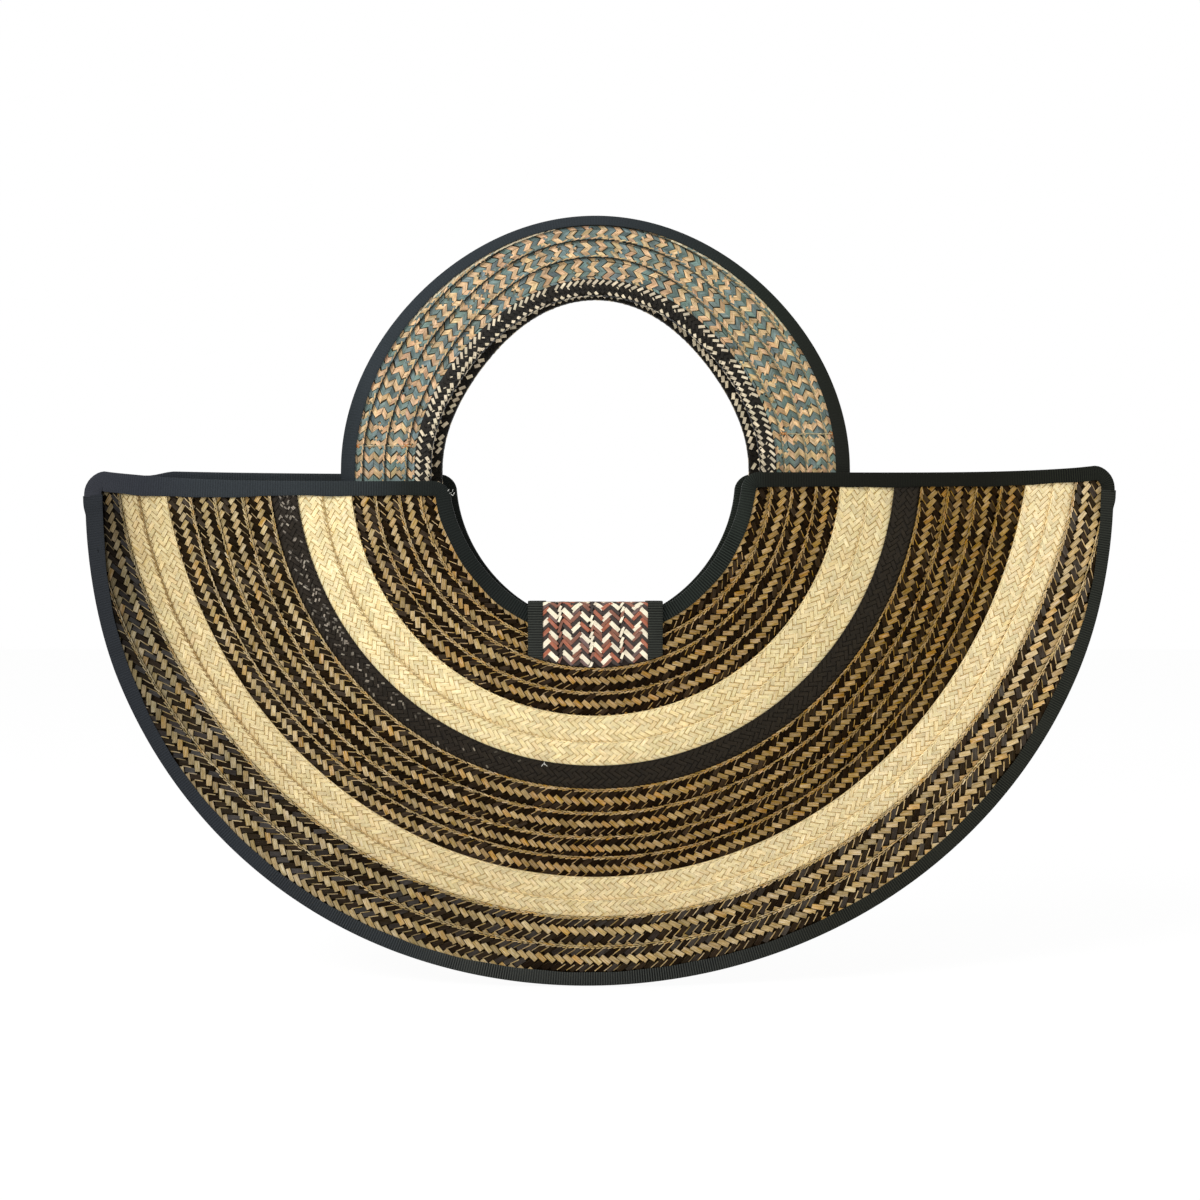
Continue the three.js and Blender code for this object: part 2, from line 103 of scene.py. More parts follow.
# The worn top corners: how far out each starts and how wide it is, how far it is drawn in and sinks,
# and how far down from the top that goes
TOP_Z = 8
WEAR = {"left": (225, 30), "right": (235, 22), "rear": (212, 14)}
DRAWN_IN = {"left": 4.0, "right": 2.4}
DRAWN_DEPTH = 108
FRONT_SINK = 1.0
REAR_SINK = 3.0
REAR_SINK_DEPTH = 30

HANDLE_SEAMS = [(81.9, 87.2), (92.4, 105.1), (103.2, 114.1), (114, 121.4), (124.5, 126.1)]
REAR_NARROWER = 3
HANDLE_CENTRE = 3.0
HANDLE_TAIL = 10.0
HANDLE_FACE = 4.2
HANDLE_AXIS_HEIGHT = 2.2208
HANDLE_AXIS_DEPTH = 16.7083
HANDLE_LEAN = np.radians(5.243)
EDGING_WIDTH = 7.0
EDGING_THICKNESS = 0.7

TAB_HALF = 32.75
TAB_STACK = 2.4
TAB_WOVEN = (0.7, 1.7)
TAB_SINK = 0.35
TAB_TOP = 62.8
TAB_FRONT = 28.355
TAB_REAR = 28.81
TAB_FOLD = 4.0
TAB_CORNER = 3.2
TAB_REAR_END = 97.5
TAB_SEWN = 95.2
# Height of the strap's underside over the strips, at some radii; at its sewn end it lies on them
TAB_RISE = [(TAB_SEWN, None), (85.5, 3.5), (77.2, 4.2)]

RIB_PITCH = 1.25
COTTON_PITCH = 0.7


def rgb(red, green, blue):
    """A screen colour, 0 to 255, as a linear one."""
    c = np.array([red, green, blue]) / 255
    return np.where(c <= 0.04045, c / 12.92, ((c + 0.055) / 1.055) ** 2.4)


def fade(*stops):
    """A colour that changes from left to right across the bag: each stop is x, red, green, blue."""
    places, *parts = np.array(stops, float).T

    def at(x):
        return np.stack([np.interp(x, places, part) for part in parts], axis=-1)
    return at


def screen_fade(*stops):
    """The same with screen colours."""
    return fade(*[(x, *rgb(*colour)) for x, *colour in stops])


def joined(*parts):
    """Numbers and arrays side by side, along a new last axis."""
    return np.stack(np.broadcast_arrays(*parts), axis=-1)


TAN = rgb(177, 149, 103)
PALE_TAN = rgb(191, 165, 120)
TANS = (TAN, TAN, TAN, PALE_TAN, PALE_TAN, rgb(186, 148, 92), rgb(163, 139, 96), rgb(181, 152, 102))
DARK = rgb(26, 16, 5)
DARKS = (DARK, DARK, rgb(50, 40, 29), rgb(20, 12, 3), rgb(35, 26, 16))
OUTER_DARKS = (rgb(38, 29, 18), rgb(56, 50, 44), rgb(26, 17, 8), rgb(46, 39, 33), rgb(40, 30, 20))
# Painted shade between the brown braids' straws
BROWN_GAP_SHADE = rgb(22, 12, 1)
NATURAL = rgb(245, 226, 174)
NATURALS = (NATURAL, NATURAL * 0.94, NATURAL * 1.04, rgb(246, 223, 168))
NATURAL_SHADE = rgb(215, 187, 132)
BLACK_STRAW = rgb(36, 30, 22)
# Painted shade between the dark braid's straws
BLACK_GAP_SHADE = rgb(27, 22, 16)
EDGING_BLACK = rgb(24, 20, 13)
# Painted shade between the edging's straws
EDGING_GAP_SHADE = rgb(15, 12, 8)
# Painted highlights on the dark braid
PAINTED_GLINT = rgb(122, 114, 100)
HANDLE_TAN = rgb(204, 170, 130)
TEAL = rgb(110, 126, 122)
# Painted shade between the handles' straws
HANDLE_GAP_SHADE = rgb(56, 52, 40)
HANDLE_RIM = rgb(98, 94, 74)
PALE_EDGE = rgb(204, 190, 160)
CREAM = rgb(210, 196, 168)
TAB_CREAM = rgb(252, 240, 212)
RUST = rgb(176, 108, 84)
RED_BROWN = rgb(146, 101, 84)
MAUVE = rgb(118, 97, 92)
TAB_DARK = rgb(68, 60, 56)
# Painted shade between the tab's straws
TAB_GAP_SHADE = rgb(34, 25, 20)
LINING = rgb(205, 188, 150)
LEG_THREAD = rgb(188, 172, 138)
KNOT_THREAD = rgb(178, 110, 48)
WHITE_THREAD = rgb(240, 238, 228)
CORNER_THREAD = rgb(200, 200, 192)

# Tints of the straws by x: brown, the dark ones among them, natural, the solid dark braid and handles.
# They paint light and shade besides colour: the inner bands and handles are lighter and bluer to the left
# and darker and warmer to the right, the dark straws and dark braid carry a painted sheen to the left, and
# the outer bands have painted shade at their left ends and painted light towards their right ends.
INNER_BROWN = fade((-200, 0.96, 1.04, 1.14), (0, 0.86, 0.8, 0.68), (200, 0.65, 0.565, 0.34))
OUTER_BROWN = fade((-250, 0.16, 0.19, 0.24), (-240, 0.28, 0.31, 0.38), (-228, 0.48, 0.54, 0.62),
                   (-195, 0.82, 0.9, 1.02), (0, 1.05, 1.08, 1.06), (220, 1.26, 1.3, 1.36))
INNER_DARK = fade((-200, 1.6, 1.8, 2.1), (0, 1.05, 0.93, 0.8), (200, 1.35, 1.2, 0.75))
OUTER_DARK = fade((-250, 0.2, 0.24, 0.3), (-240, 0.4, 0.46, 0.56), (-228, 0.8, 0.9, 1.05),
                  (-195, 1.35, 1.5, 1.75), (0, 1.12, 1.12, 1.12), (220, 1.75, 1.75, 1.65))
INNER_PALE = fade((-150, 1.02, 1.04, 1.06), (0, 1, 1, 1), (150, 0.88, 0.87, 0.85))
OUTER_PALE = fade((-242, 0.42, 0.4, 0.38), (-230, 0.6, 0.57, 0.53), (-215, 0.76, 0.74, 0.7),
                  (-190, 0.84, 0.82, 0.8), (0, 0.92, 0.91, 0.92), (220, 1.04, 1.04, 1.08))
DARK_BRAID = fade((-150, 1.1, 1.1, 1.15), (0, 0.95, 0.93, 0.85), (150, 0.85, 0.8, 0.6))
HANDLE_STRAW = fade((-80, 0.99, 1.0, 1.0), (0, 0.96, 0.98, 0.98), (90, 0.92, 0.93, 0.87))
# Colours of threads and tapes
# Fold of the natural braids: painted shade makes it darker to the left, and a painted highlight on its ridge
# makes it paler than the straws from the middle rightwards
PALE_SEAM = fade((-200, *rgb(164, 134, 84)), (-60, *rgb(208, 181, 128)), (-20, *(NATURAL * 1.06)),
                 (250, *(NATURAL * 1.03)))
# Seam line of the handle's braids: dark thread together with painted shadow of the braid's edge, paler to the
# right
HANDLE_THREAD = screen_fade((-130, 30, 30, 26), (20, 34, 34, 28), (75, 120, 116, 96), (130, 168, 156, 126))
# Along the bag the seam, mouth and handle tapes are bluer to the left and mostly darker to the right: painted
# light and shade, together with their wear
SEAM_TAPE = screen_fade(
    (-255, 35, 38, 42), (-180, 42, 46, 51), (-150, 44, 47, 50), (-100, 48, 52, 54), (-60, 56, 58, 55),
    (0, 51, 53, 50), (60, 48, 50, 47), (120, 36, 37, 31), (180, 36, 37, 30), (255, 39, 41, 35),
)
MOUTH_TAPE = screen_fade(
    (-250, 47, 49, 55), (-225, 43, 46, 52), (-195, 46, 51, 55), (-150, 47, 52, 55), (-110, 41, 46, 47),
    (-90, 24, 28, 25), (-58, 20, 24, 22), (-20, 30, 34, 32), (72, 35, 40, 35), (84, 17, 19, 13),
    (190, 11, 11, 3), (225, 23, 25, 17), (255, 26, 28, 21),
)
TAB_TAPE = screen_fade((-40, 46, 48, 44), (40, 44, 46, 41))
HANDLE_TAPE = screen_fade(
    (-126, 35, 40, 43), (-112, 46, 52, 56), (0, 43, 48, 52), (80, 27, 32, 27), (126, 23, 24, 18),
)

# The surfaces the straws lie on


def outline_radius(angle):
    """The bag's outer edge, a half circle that is a little wider at its ends and shoulders."""
    spread = 4.4 * np.cos(angle) ** 2 + 2.2 * np.sin(2 * angle) ** 2
    return DROP + spread + 1.3 * np.cos(3 * angle)


OUTLINE_END = {"right": float(outline_radius(0.0)), "left": float(outline_radius(np.pi))}


def seam_radius(seam, angle):
    if seam == 0:
        return MOUTH_RADIUS + MOUTH_SAG * np.sin(angle) ** 4
    if seam == len(STRIPS):
        return outline_radius(angle)
    outness = max(0, (SEAMS[seam] - DRIFT_START) / (DROP - DRIFT_START))
    return SEAMS[seam] + DRIFT * outness ** 1.7 * (1 - np.sin(angle)) ** 2


def covered(neighbour):
    """How far a strip goes on under a neighbour of that width."""
    return np.minimum(LAP, 0.2 * np.maximum(0, neighbour))


def strip_edges(strip, angle):
    seam = np.minimum(seam_radius(strip + 1, angle), outline_radius(angle))
    beyond = seam_radius(min(strip + 2, len(STRIPS)), angle)
    return seam_radius(strip, angle), seam + covered(beyond - seam)


def shingle_height(inner, outer, radius):
    return STRIP_EDGE + STRIP_LIFT * (outer - radius) / np.maximum(outer - inner, 0.5)


def face_height(all_edges, radius):
    """Height of overlapping strips' outward face where a radius crosses them."""
    height = 0.0
    for inner, outer in all_edges:
        height = np.where(inner <= radius, shingle_height(inner, outer, radius), height)
    return height


def surface_height(radius, angle):
    return face_height([strip_edges(strip, angle) for strip in range(len(STRIPS))], radius)


def corner_fall(size, distance):
    distance = np.clip(distance, 0, size)
    return size - np.sqrt(size**2 - (size - distance) ** 2)


def top_height(side, end, across):
    start, climb = TOP_EDGE[side][end]
    return start + climb * (np.minimum(across, OUTLINE_END[end] - OUTER_CORNER) / DROP) ** 6


def end_angle(side, end, radius):
    inner = corner_fall(MOUTH_CORNER, radius - MOUTH_RADIUS)
    outer = corner_fall(OUTER_CORNER, OUTLINE_END[end] - radius)
    return np.arcsin((inner + outer - top_height(side, end, radius)) / radius)


def flat_point(side, radius, share):
    """x and z of the flat panel, at a radius and a share of the way from right to left."""
    right, left = end_angle(side, "right", radius), end_angle(side, "left", radius)
    angle = right + share * (np.pi - right - left)
    return radius * np.cos(angle), -radius * np.sin(angle)


def bow_at(x, z):
    reach = np.hypot(x, z) / outline_radius(np.arctan2(-z, x))
    return BOW * np.maximum(0, 1 - reach**2)


def worn(corner, out):
    """Share of a corner's wear, rising smoothly, so far out from the middle."""
    start, reach = WEAR[corner]
    share = np.clip((out - start) / reach, 0, 1)
    return share * share * (3 - 2 * share)


def bend(side, x, z, height):
    """A point of the bowed panel. Its worn top corners are drawn in a little."""
    depth = SEAM_HALF_GAP + bow_at(x, z) + height
    near_top = np.clip(1 + (z - TOP_Z) / DRAWN_DEPTH, 0, 1)
    at_left = worn("left", -x)
    drawn_x = x + near_top * (DRAWN_IN["left"] * at_left - DRAWN_IN["right"] * worn("right", x))
    if side == "front":
        drawn_z = z - FRONT_SINK * at_left * near_top
    else:
        drawn_z = z - REAR_SINK * worn("rear", -x) * np.clip(1 + (z - TOP_Z) / REAR_SINK_DEPTH, 0, 1)
    return joined(drawn_x, OUTWARD[side] * depth, drawn_z)


def on_handle(side, angle, radius, height, below=0.0):
    """A point of a handle; below is how far under the arch's foot it lies, along the tail."""
    x = radius * np.cos(angle)
    y = OUTWARD[side] * (height - HANDLE_FACE)
    z = HANDLE_CENTRE + radius * np.sin(angle) - below - HANDLE_AXIS_HEIGHT
    lean = OUTWARD[side] * HANDLE_LEAN
    turned_y = y * np.cos(lean) - z * np.sin(lean) + OUTWARD[side] * HANDLE_AXIS_DEPTH
    turned_z = y * np.sin(lean) + z * np.cos(lean) + HANDLE_AXIS_HEIGHT
    return joined(x, turned_y, turned_z)


def handle_seam(side, seam, angle):
    foot, top = HANDLE_SEAMS[seam]
    foot = foot - REAR_NARROWER if side == "rear" else foot
    return foot + (top - foot) * np.sin(angle) ** 4 - 2 * np.sin(2 * angle) ** 2


def handle_ribbon_width(angle):
    """The handle's ribbon is narrower at the top of the arch."""
    return RIBBON_WIDTH - 1.9 * np.sin(angle) ** 2


def lengths_along(points):
    """Running length along a row of points."""
    steps = np.linalg.norm(np.diff(points, axis=0), axis=1)
    return np.concatenate([[0], np.cumsum(steps)])


def arc(x, y, size, start, end):
    """Nine points of an arc about x, y, from one angle in degrees to the other."""
    angle = np.radians(np.linspace(start, end, 9))
    return joined(x + size * np.cos(angle), y + size * np.sin(angle))


def left_of(path):
    """The direction to the left all along a path."""
    way = np.gradient(path, axis=0)
    way /= np.linalg.norm(way, axis=1, keepdims=True)
    return joined(-way[:, 1], way[:, 0])


class Strip:
    """One shingled braid, which turns u and v along it into points of the bag."""

    def width_at(self, u):
        inner, outer = self.edges_at(u)
        return outer - inner

    def place(self, u, v, rise):
        inner, outer = self.edges_at(u)
        radius = inner + np.clip(v, 0.0, outer - inner)
        return self.on_side(u, radius, shingle_height(inner, outer, radius) + rise)


class PanelStrip(Strip):
    def __init__(self, side, index):
        self.side, self.index = side, index
        self.share = np.linspace(1, 0, 721)
        inner, outer = strip_edges(index, self.share * np.pi)
        middle = inner + 0.45 * (outer - inner)
        self.length = lengths_along(bend(side, *flat_point(side, middle, self.share), 0))
        self.end = self.length[-1]

    def share_at(self, u):
        return np.interp(u, self.length, self.share)

    def edges_at(self, u):
        return strip_edges(self.index, self.share_at(u) * np.pi)

    def ribbon_at(self, u):
        """How far out v may go before the ribbon of the outline."""
        return outline_radius(self.share_at(u) * np.pi) - RIBBON_WIDTH - self.edges_at(u)[0]

    def on_side(self, u, radius, height):
        return bend(self.side, *flat_point(self.side, radius, self.share_at(u)), height)


class HandleStrip(Strip):
    """A braid of a handle, with a straight tail at both feet."""

    tail = HANDLE_TAIL + HANDLE_CENTRE

    def __init__(self, side, index):
        self.side, self.index = side, index
        self.angle = np.linspace(np.pi, 0, 361)
        inner, outer = self.edges(self.angle)
        self.arc = lengths_along(on_handle(side, self.angle, (inner + outer) / 2, 0))
        self.end = self.arc[-1] + 2 * self.tail

    def edges(self, angle):
        seam = handle_seam(self.side, self.index + 1, angle)
        beyond = handle_seam(self.side, min(self.index + 2, len(HANDLE_SEAMS) - 1), angle)
        return handle_seam(self.side, self.index, angle), seam + covered(beyond - seam)

    def angle_at(self, u):
        return np.interp(u - self.tail, self.arc, self.angle)

    def edges_at(self, u):
        return self.edges(self.angle_at(u))

    def below_at(self, u):
        return np.maximum(self.tail - u, 0) + np.maximum(u - self.tail - self.arc[-1], 0)

    def ribbon_at(self, u):
        angle = self.angle_at(u)
        outer = handle_seam(self.side, len(HANDLE_SEAMS) - 1, angle)
        return outer - handle_ribbon_width(angle) - self.edges(angle)[0]

    def on_side(self, u, radius, height):
        return on_handle(self.side, self.angle_at(u), radius, height, self.below_at(u))


class Tab:
    """The closing tab: up the front panel, over the mouth and down the rear one. u is x, v the way
    along the strap from its sewn end, and the height counts from the strap's underside."""

    start = -TAB_SEWN

    def __init__(self):
        corner = arc(TAB_CORNER - TAB_FRONT, -TAB_TOP - TAB_CORNER, TAB_CORNER, 180, 90)
        fold = arc(TAB_REAR - TAB_FOLD, -TAB_TOP - TAB_FOLD, TAB_FOLD, 90, 0)
        over = np.linspace(corner[-1], fold[0], 14)[1:-1]
        down = np.linspace(fold[-1], [TAB_REAR, -TAB_REAR_END], 12)[1:]
        self.path = np.concatenate([corner, over, fold, down])
        self.path_v = lengths_along(self.path) + (-TAB_TOP - TAB_CORNER - self.start)
        self.outward = left_of(self.path)
        self.end = self.path_v[-1]

    def front_depth(self, x, z):
        """Depth of the strap's underside on the front, where it rises over the strips."""
        rows = []
        for radius, under in TAB_RISE:
            row_z = -np.sqrt(radius**2 - x**2)
            under = under or surface_height(radius, np.pi / 2) + GAP
            rows.append((row_z, SEAM_HALF_GAP + bow_at(x, row_z) + under))
        rows.append((np.full_like(x, -TAB_TOP - TAB_CORNER), np.full_like(x, TAB_FRONT - TAB_STACK)))
        depth = rows[0][1]
        for (low, at_low), (high, at_high) in zip(rows, rows[1:]):
            part = np.clip((z - low) / (high - low), 0, 1)
            depth = np.where(z > low, at_low + part * (at_high - at_low), depth)
        return depth

    def place(self, u, v, height):
        x, v, height = np.broadcast_arrays(u, v, height)
        z = np.maximum(self.start + v, -np.sqrt(TAB_SEWN**2 - x**2))
        front = joined(x, -(self.front_depth(x, z) + height), z)
        y, top = (np.interp(v, self.path_v, self.path[:, i]) for i in (0, 1))
        out_y, out_z = (np.interp(v, self.path_v, self.outward[:, i]) for i in (0, 1))
        inset = TAB_STACK - height
        rest = joined(x, y - out_y * inset, top - out_z * inset)
        return np.where((v < self.path_v[0])[..., None], front, rest)


# Making meshes


def add_object(name, data):
    made = bpy.data.objects.new(name, data)
    bpy.context.scene.collection.objects.link(made)
    return made


class Cloth:
    """Collects patches of quads, each point with its colour and its place in the grain, and makes one
    mesh of them."""

    def __init__(self, seed=0, tint=None):
        self.random = np.random.default_rng(seed)
        self.tint = tint
        self.points, self.faces, self.tones, self.grains, self.smooth = [], [], [], [], []
        self.count = 0

    def add(self, points, tone, grain, wrap=False, smooth=True):
        """Patches shaped (patch, row, column, 3). wrap joins the last column to the first."""
        patches, rows, columns = points.shape[:3]
        index = np.arange(patches * rows * columns).reshape(patches, rows, columns) + self.count
        beside = np.roll(index, -1, axis=2) if wrap else index[:, :, 1:]
        base = index if wrap else index[:, :, :-1]
        quads = np.stack([base[:, :-1], beside[:, :-1], beside[:, 1:], base[:, 1:]], axis=-1)
        # A tint by x also paints light and shade across the bag
        if self.tint:
            tone = tone * self.tint(points[..., 0])
        self.points.append(points.reshape(-1, 3))
        self.faces.append(quads.reshape(-1, 4))
        self.tones.append(np.broadcast_to(tone, points.shape).reshape(-1, 3))
        self.grains.append(np.broadcast_to(grain, points.shape).reshape(-1, 3))
        self.smooth.append(np.full(quads.size // 4, smooth))
        self.count += patches * rows * columns

    def draw(self, tones, count):
        """So many colours, each drawn from a few."""
        return np.array(tones)[self.random.integers(len(tones), size=count)]

    def add_loop(self, points, tone, *grain):
        """One patch that closes on itself; the three parts of its grain are given one by one."""
        self.add(points[None], tone, joined(*grain)[None], wrap=True)

    def piece(self, name, slot, nodes, body="pouch"):
        """The object, in metres in the part's frame, which replaces solids of the CAD model."""
        points = np.concatenate(self.points)
        points[:, 2] -= GRIP_HEIGHT
        points *= 0.001
        faces = np.concatenate(self.faces).astype(np.int32)
        mesh = bpy.data.meshes.new(name)
        mesh.vertices.add(len(points))
        mesh.vertices.foreach_set("co", points.astype(np.float32).ravel())
        mesh.loops.add(faces.size)
        mesh.loops.foreach_set("vertex_index", faces.ravel())
        mesh.polygons.add(len(faces))
        mesh.polygons.foreach_set("loop_start", np.arange(0, faces.size, 4, dtype=np.int32))
        mesh.update(calc_edges=True)
        mesh.polygons.foreach_set("use_smooth", np.concatenate(self.smooth))
        tones = joined(*np.concatenate(self.tones).T, 1.0).astype(np.float32)
        grains = np.concatenate(self.grains).astype(np.float32)
        mesh.color_attributes.new("tone", "FLOAT_COLOR", "POINT").data.foreach_set("color", tones.ravel())
        mesh.attributes.new("grain", "FLOAT_VECTOR", "POINT").data.foreach_set("vector", grains.ravel())
        mesh.materials.append(LOOKS[slot])
        made = add_object(name, mesh)
        if body:
            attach(made, body)
        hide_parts(*nodes)
        return made


BAR_ALONG = np.array([-1, -0.94, 0, 0.94, 1.0])
BAR_ACROSS = np.array([-1, -0.88, 0.88, 1.0])
BAR_RISE = np.outer([0, 0.9, 1, 0.9, 0], [0, 0.96, 0.96, 0])
# Each straw darkens towards its ends, where it dips under its neighbours: painted shade
BAR_SHADE = np.array([0.6, 0.96, 1.04, 0.96, 0.6])
GROUND_SINK = 0.45
NARROWEST = 0.8
ROW_MARGIN = 2.5
BAR_CROWN = 0.2


def lay_bars(cloth, place, u, v, slant, length, width, tone, rim=None, sheared=False, lift=0.0, flat=None,
             uneven=0.16, mottle=0.015, stray=0.08):
    """Straws that show on the face of a weave, each one a low flat block at a slant to the strip. A
    sheared one has ends that run along the strip. tone is one colour, or one for each straw."""
    u, v = np.broadcast_arrays(np.asarray(u, float), np.asarray(v, float))
    count = len(u)
    if not count:
        return
    slant = np.radians(slant).reshape(-1, 1, 1)
    # Each straw is turned, drawn out, widened, raised, shaded and moved a little at random
    rough = cloth.random.uniform(-1, 1, (7, count, 1, 1))
    angle = slant + 0.05 * rough[0]
    along = BAR_ALONG[None, :, None] * length / 2 * (1 + 0.07 * rough[1])
    across = BAR_ACROSS[None, None, :] * width / 2 * (1 + 0.08 * rough[2])
    if sheared:
        du = along * np.cos(angle) + across / abs(np.sin(slant))
        dv = along * np.sin(angle) + 0 * across
    else:
        du = along * np.cos(angle) - across * np.sin(angle)
        dv = along * np.sin(angle) + across * np.cos(angle)
    low = -GROUND_SINK + lift if flat is None else flat
    rise = low + (BAR_CROWN + lift - low) * BAR_RISE[None] * (1 + 0.12 * rough[3])
    rise = np.where(BAR_RISE[None] > 0, rise, low - 0.06)
    points = place(u[:, None, None] + du + stray * rough[5], v[:, None, None] + dv + stray * rough[6], rise)
    mottled = 1 + mottle * cloth.random.uniform(-1, 1, (count, 1, 1, 3))
    tone = np.broadcast_to(tone, (count, 3))[:, None, None, :] * (1 + uneven * rough[4])[..., None] * mottled
    # Painted shade: darker ends where straws dip under their neighbours
    tone = tone * BAR_SHADE[None, :, None, None]
    # Painted shade at each straw's long edges, where straws meet; the dark straws' paler edges are partly
    # their own colour and partly painted highlight
    if rim is not None:
        edge = (np.abs(BAR_ACROSS) == 1)[None, None, :, None]
        tone = np.where(edge, 0.45 * tone + 0.55 * np.asarray(rim), tone)
    seed = cloth.random.uniform(0, 400, (count, 1, 1))
    grain = joined(along + seed, across, seed)
    cloth.add(points, np.broadcast_to(tone, points.shape), grain, smooth=False)


def lay_ground(cloth, strip, tone, step=4.0, sink=GROUND_SINK):
    """The body of a braid under its straws: a flat band with rounded edges. Its dark tone is painted
    shade, which shows between the straws.
    """
    u = np.linspace(0, strip.end, int(strip.end / step))[:, None]
    wide = strip.width_at(u)
    keep = wide[:, 0] > NARROWEST
    u, wide = u[keep], wide[keep]
    shares = np.array([0, 0.15, 0.3, 0.45, 0.6, 0.75, 0.9, 1])
    top_v = shares[None] * (wide - 0.3) + 0.15
    low = -(STRIP_EDGE - STRIP_BOTTOM)
    fold = (low - sink) / 2
    v = np.concatenate([0 * u, top_v, wide, top_v[:, ::-1]], axis=1)
    rise = np.array([fold, *[-sink] * len(shares), fold, *[low] * len(shares)])
    cloth.add_loop(strip.place(u, v, rise), tone, u, v, 0.0)


def rows_along(strip, pitch, phase=0.0):
    return np.arange(ROW_MARGIN + phase % pitch, strip.end - ROW_MARGIN, pitch)


def weave_column(cloth, strip, v, pitch, phase, slant, length, width, tone, under_mouth=-1.0, missing=0.0,
                 **how):
    """One column of straws, but for those wholly hidden by a neighbour or a ribbon. tone is a colour,
    a list to repeat in turn, a tuple to draw from, or a function of x."""
    u = rows_along(strip, pitch, phase)
    seen = (v < strip.width_at(u) - 0.4) & (v < strip.ribbon_at(u) + 1.5) & (v > under_mouth)
    if missing:
        seen &= cloth.random.uniform(0, 1, len(u)) > missing
    if isinstance(tone, list):
        tone = np.array(tone)[np.arange(len(u)) % len(tone)][seen]
    elif isinstance(tone, tuple):
        tone = cloth.draw(tone, seen.sum())
    elif callable(tone):
        tone = tone(strip.place(u[seen], v, 0.0)[..., 0])
    lay_bars(cloth, strip.place, u[seen], v, slant, length, width, tone, **how)


def lay_fold(cloth, strip, tone, under_mouth=-1.0, width=0.72):
    """The two fine twisted strands along a braid's fold."""
    strands = ((0.4, 0.0, 12, 3.3, 0.0, 0.12), (1.25, 1.3, -14, 3.2, 0.12, 0.1))
    for v, phase, slant, length, missing, lift in strands:
        weave_column(cloth, strip, v, 2.9, phase, slant, length, width, tone, under_mouth, missing,
                     lift=lift, flat=-0.5, uneven=0.25)


# Materials


def plug(tree, made, inputs):
    """Sets a node's inputs, each to a number or colour or to another node's output."""
    for key, value in dict(inputs).items():
        if isinstance(value, bpy.types.NodeSocket):
            tree.links.new(value, made.inputs[key])
        else:
            made.inputs[key].default_value = value


def node(tree, kind, inputs=(), **settings):
    made = tree.nodes.new(kind)
    for key, value in settings.items():
        setattr(made, key, value)
    plug(tree, made, inputs)
    return made


def calculated(tree, operation, *values):
    return node(tree, "ShaderNodeMath", dict(enumerate(values)), operation=operation).outputs[0]


def noise(tree, vector, scale, detail):
    made = node(tree, "ShaderNodeTexNoise", {"Vector": vector, "Scale": scale, "Detail": detail})
    return made.outputs["Fac"]


def ranged(tree, value, low, high, start=0.3, end=0.7):
    """Maps start to end, which is by default where noise mostly lies, onto low to high."""
    made = node(tree, "ShaderNodeMapRange", {
        "Value": value, "From Min": start, "From Max": end, "To Min": low, "To Max": high,
    })
    return made.outputs[0]


def stretched(tree, vector, scale):
    return node(tree, "ShaderNodeMapping", {"Vector": vector, "Scale": scale}).outputs[0]


def shaded(tree, colour, share):
    return node(tree, "ShaderNodeVectorMath", {0: colour, "Scale": share}, operation="SCALE").outputs[0]


def relief(tree, strength, distance, height):
    made = node(tree, "ShaderNodeBump", {"Strength": strength, "Distance": distance, "Height": height})
    return made.outputs[0]


def waves(tree, value, pitch):
    return calculated(tree, "SINE", calculated(tree, "MULTIPLY", value, 2 * np.pi / pitch))


def carried(tree):
    """The colour and the grain that the mesh carries."""
    tone, grain = (node(tree, "ShaderNodeAttribute", attribute_name=name) for name in ("tone", "grain"))
    return tone.outputs["Color"], grain.outputs["Vector"]


def new_material(name):
    material = bpy.data.materials.new(name)
    material.use_nodes = True
    tree = material.node_tree
    return material, tree, tree.nodes["Principled BSDF"]


def straw_material(name, roughness, streaks, blotches, shine, golden):
    """Flat split straw: long fine streaks along each straw, more golden where they are dark, with a
    slightly glossy skin."""
    material, tree, shader = new_material(name)
    tone, grain = carried(tree)
    streak = noise(tree, stretched(tree, grain, (0.22, 4.2, 1)), 1.0, 3.0)
    blotch = noise(tree, stretched(tree, grain, (0.3, 0.5, 1)), 1.0, 2.0)
    lighter = ranged(tree, streak, 1 - streaks, 1 + streaks)
    cleaner = ranged(tree, blotch, 1 - blotches, 1 + blotches)
    colour = shaded(tree, tone, calculated(tree, "MULTIPLY", lighter, cleaner))
    strong = ranged(tree, streak, 1 + golden, 1 - golden)
    warmed = node(tree, "ShaderNodeHueSaturation", {"Saturation": strong, "Color": colour})
    plug(tree, shader, {
        "Base Color": warmed.outputs[0],
        "Roughness": ranged(tree, streak, roughness - 0.12, roughness + 0.12, 0, 1),
        "Normal": relief(tree, 0.4, 0.0003, streak),
        "Specular IOR Level": shine,
    })
    return material


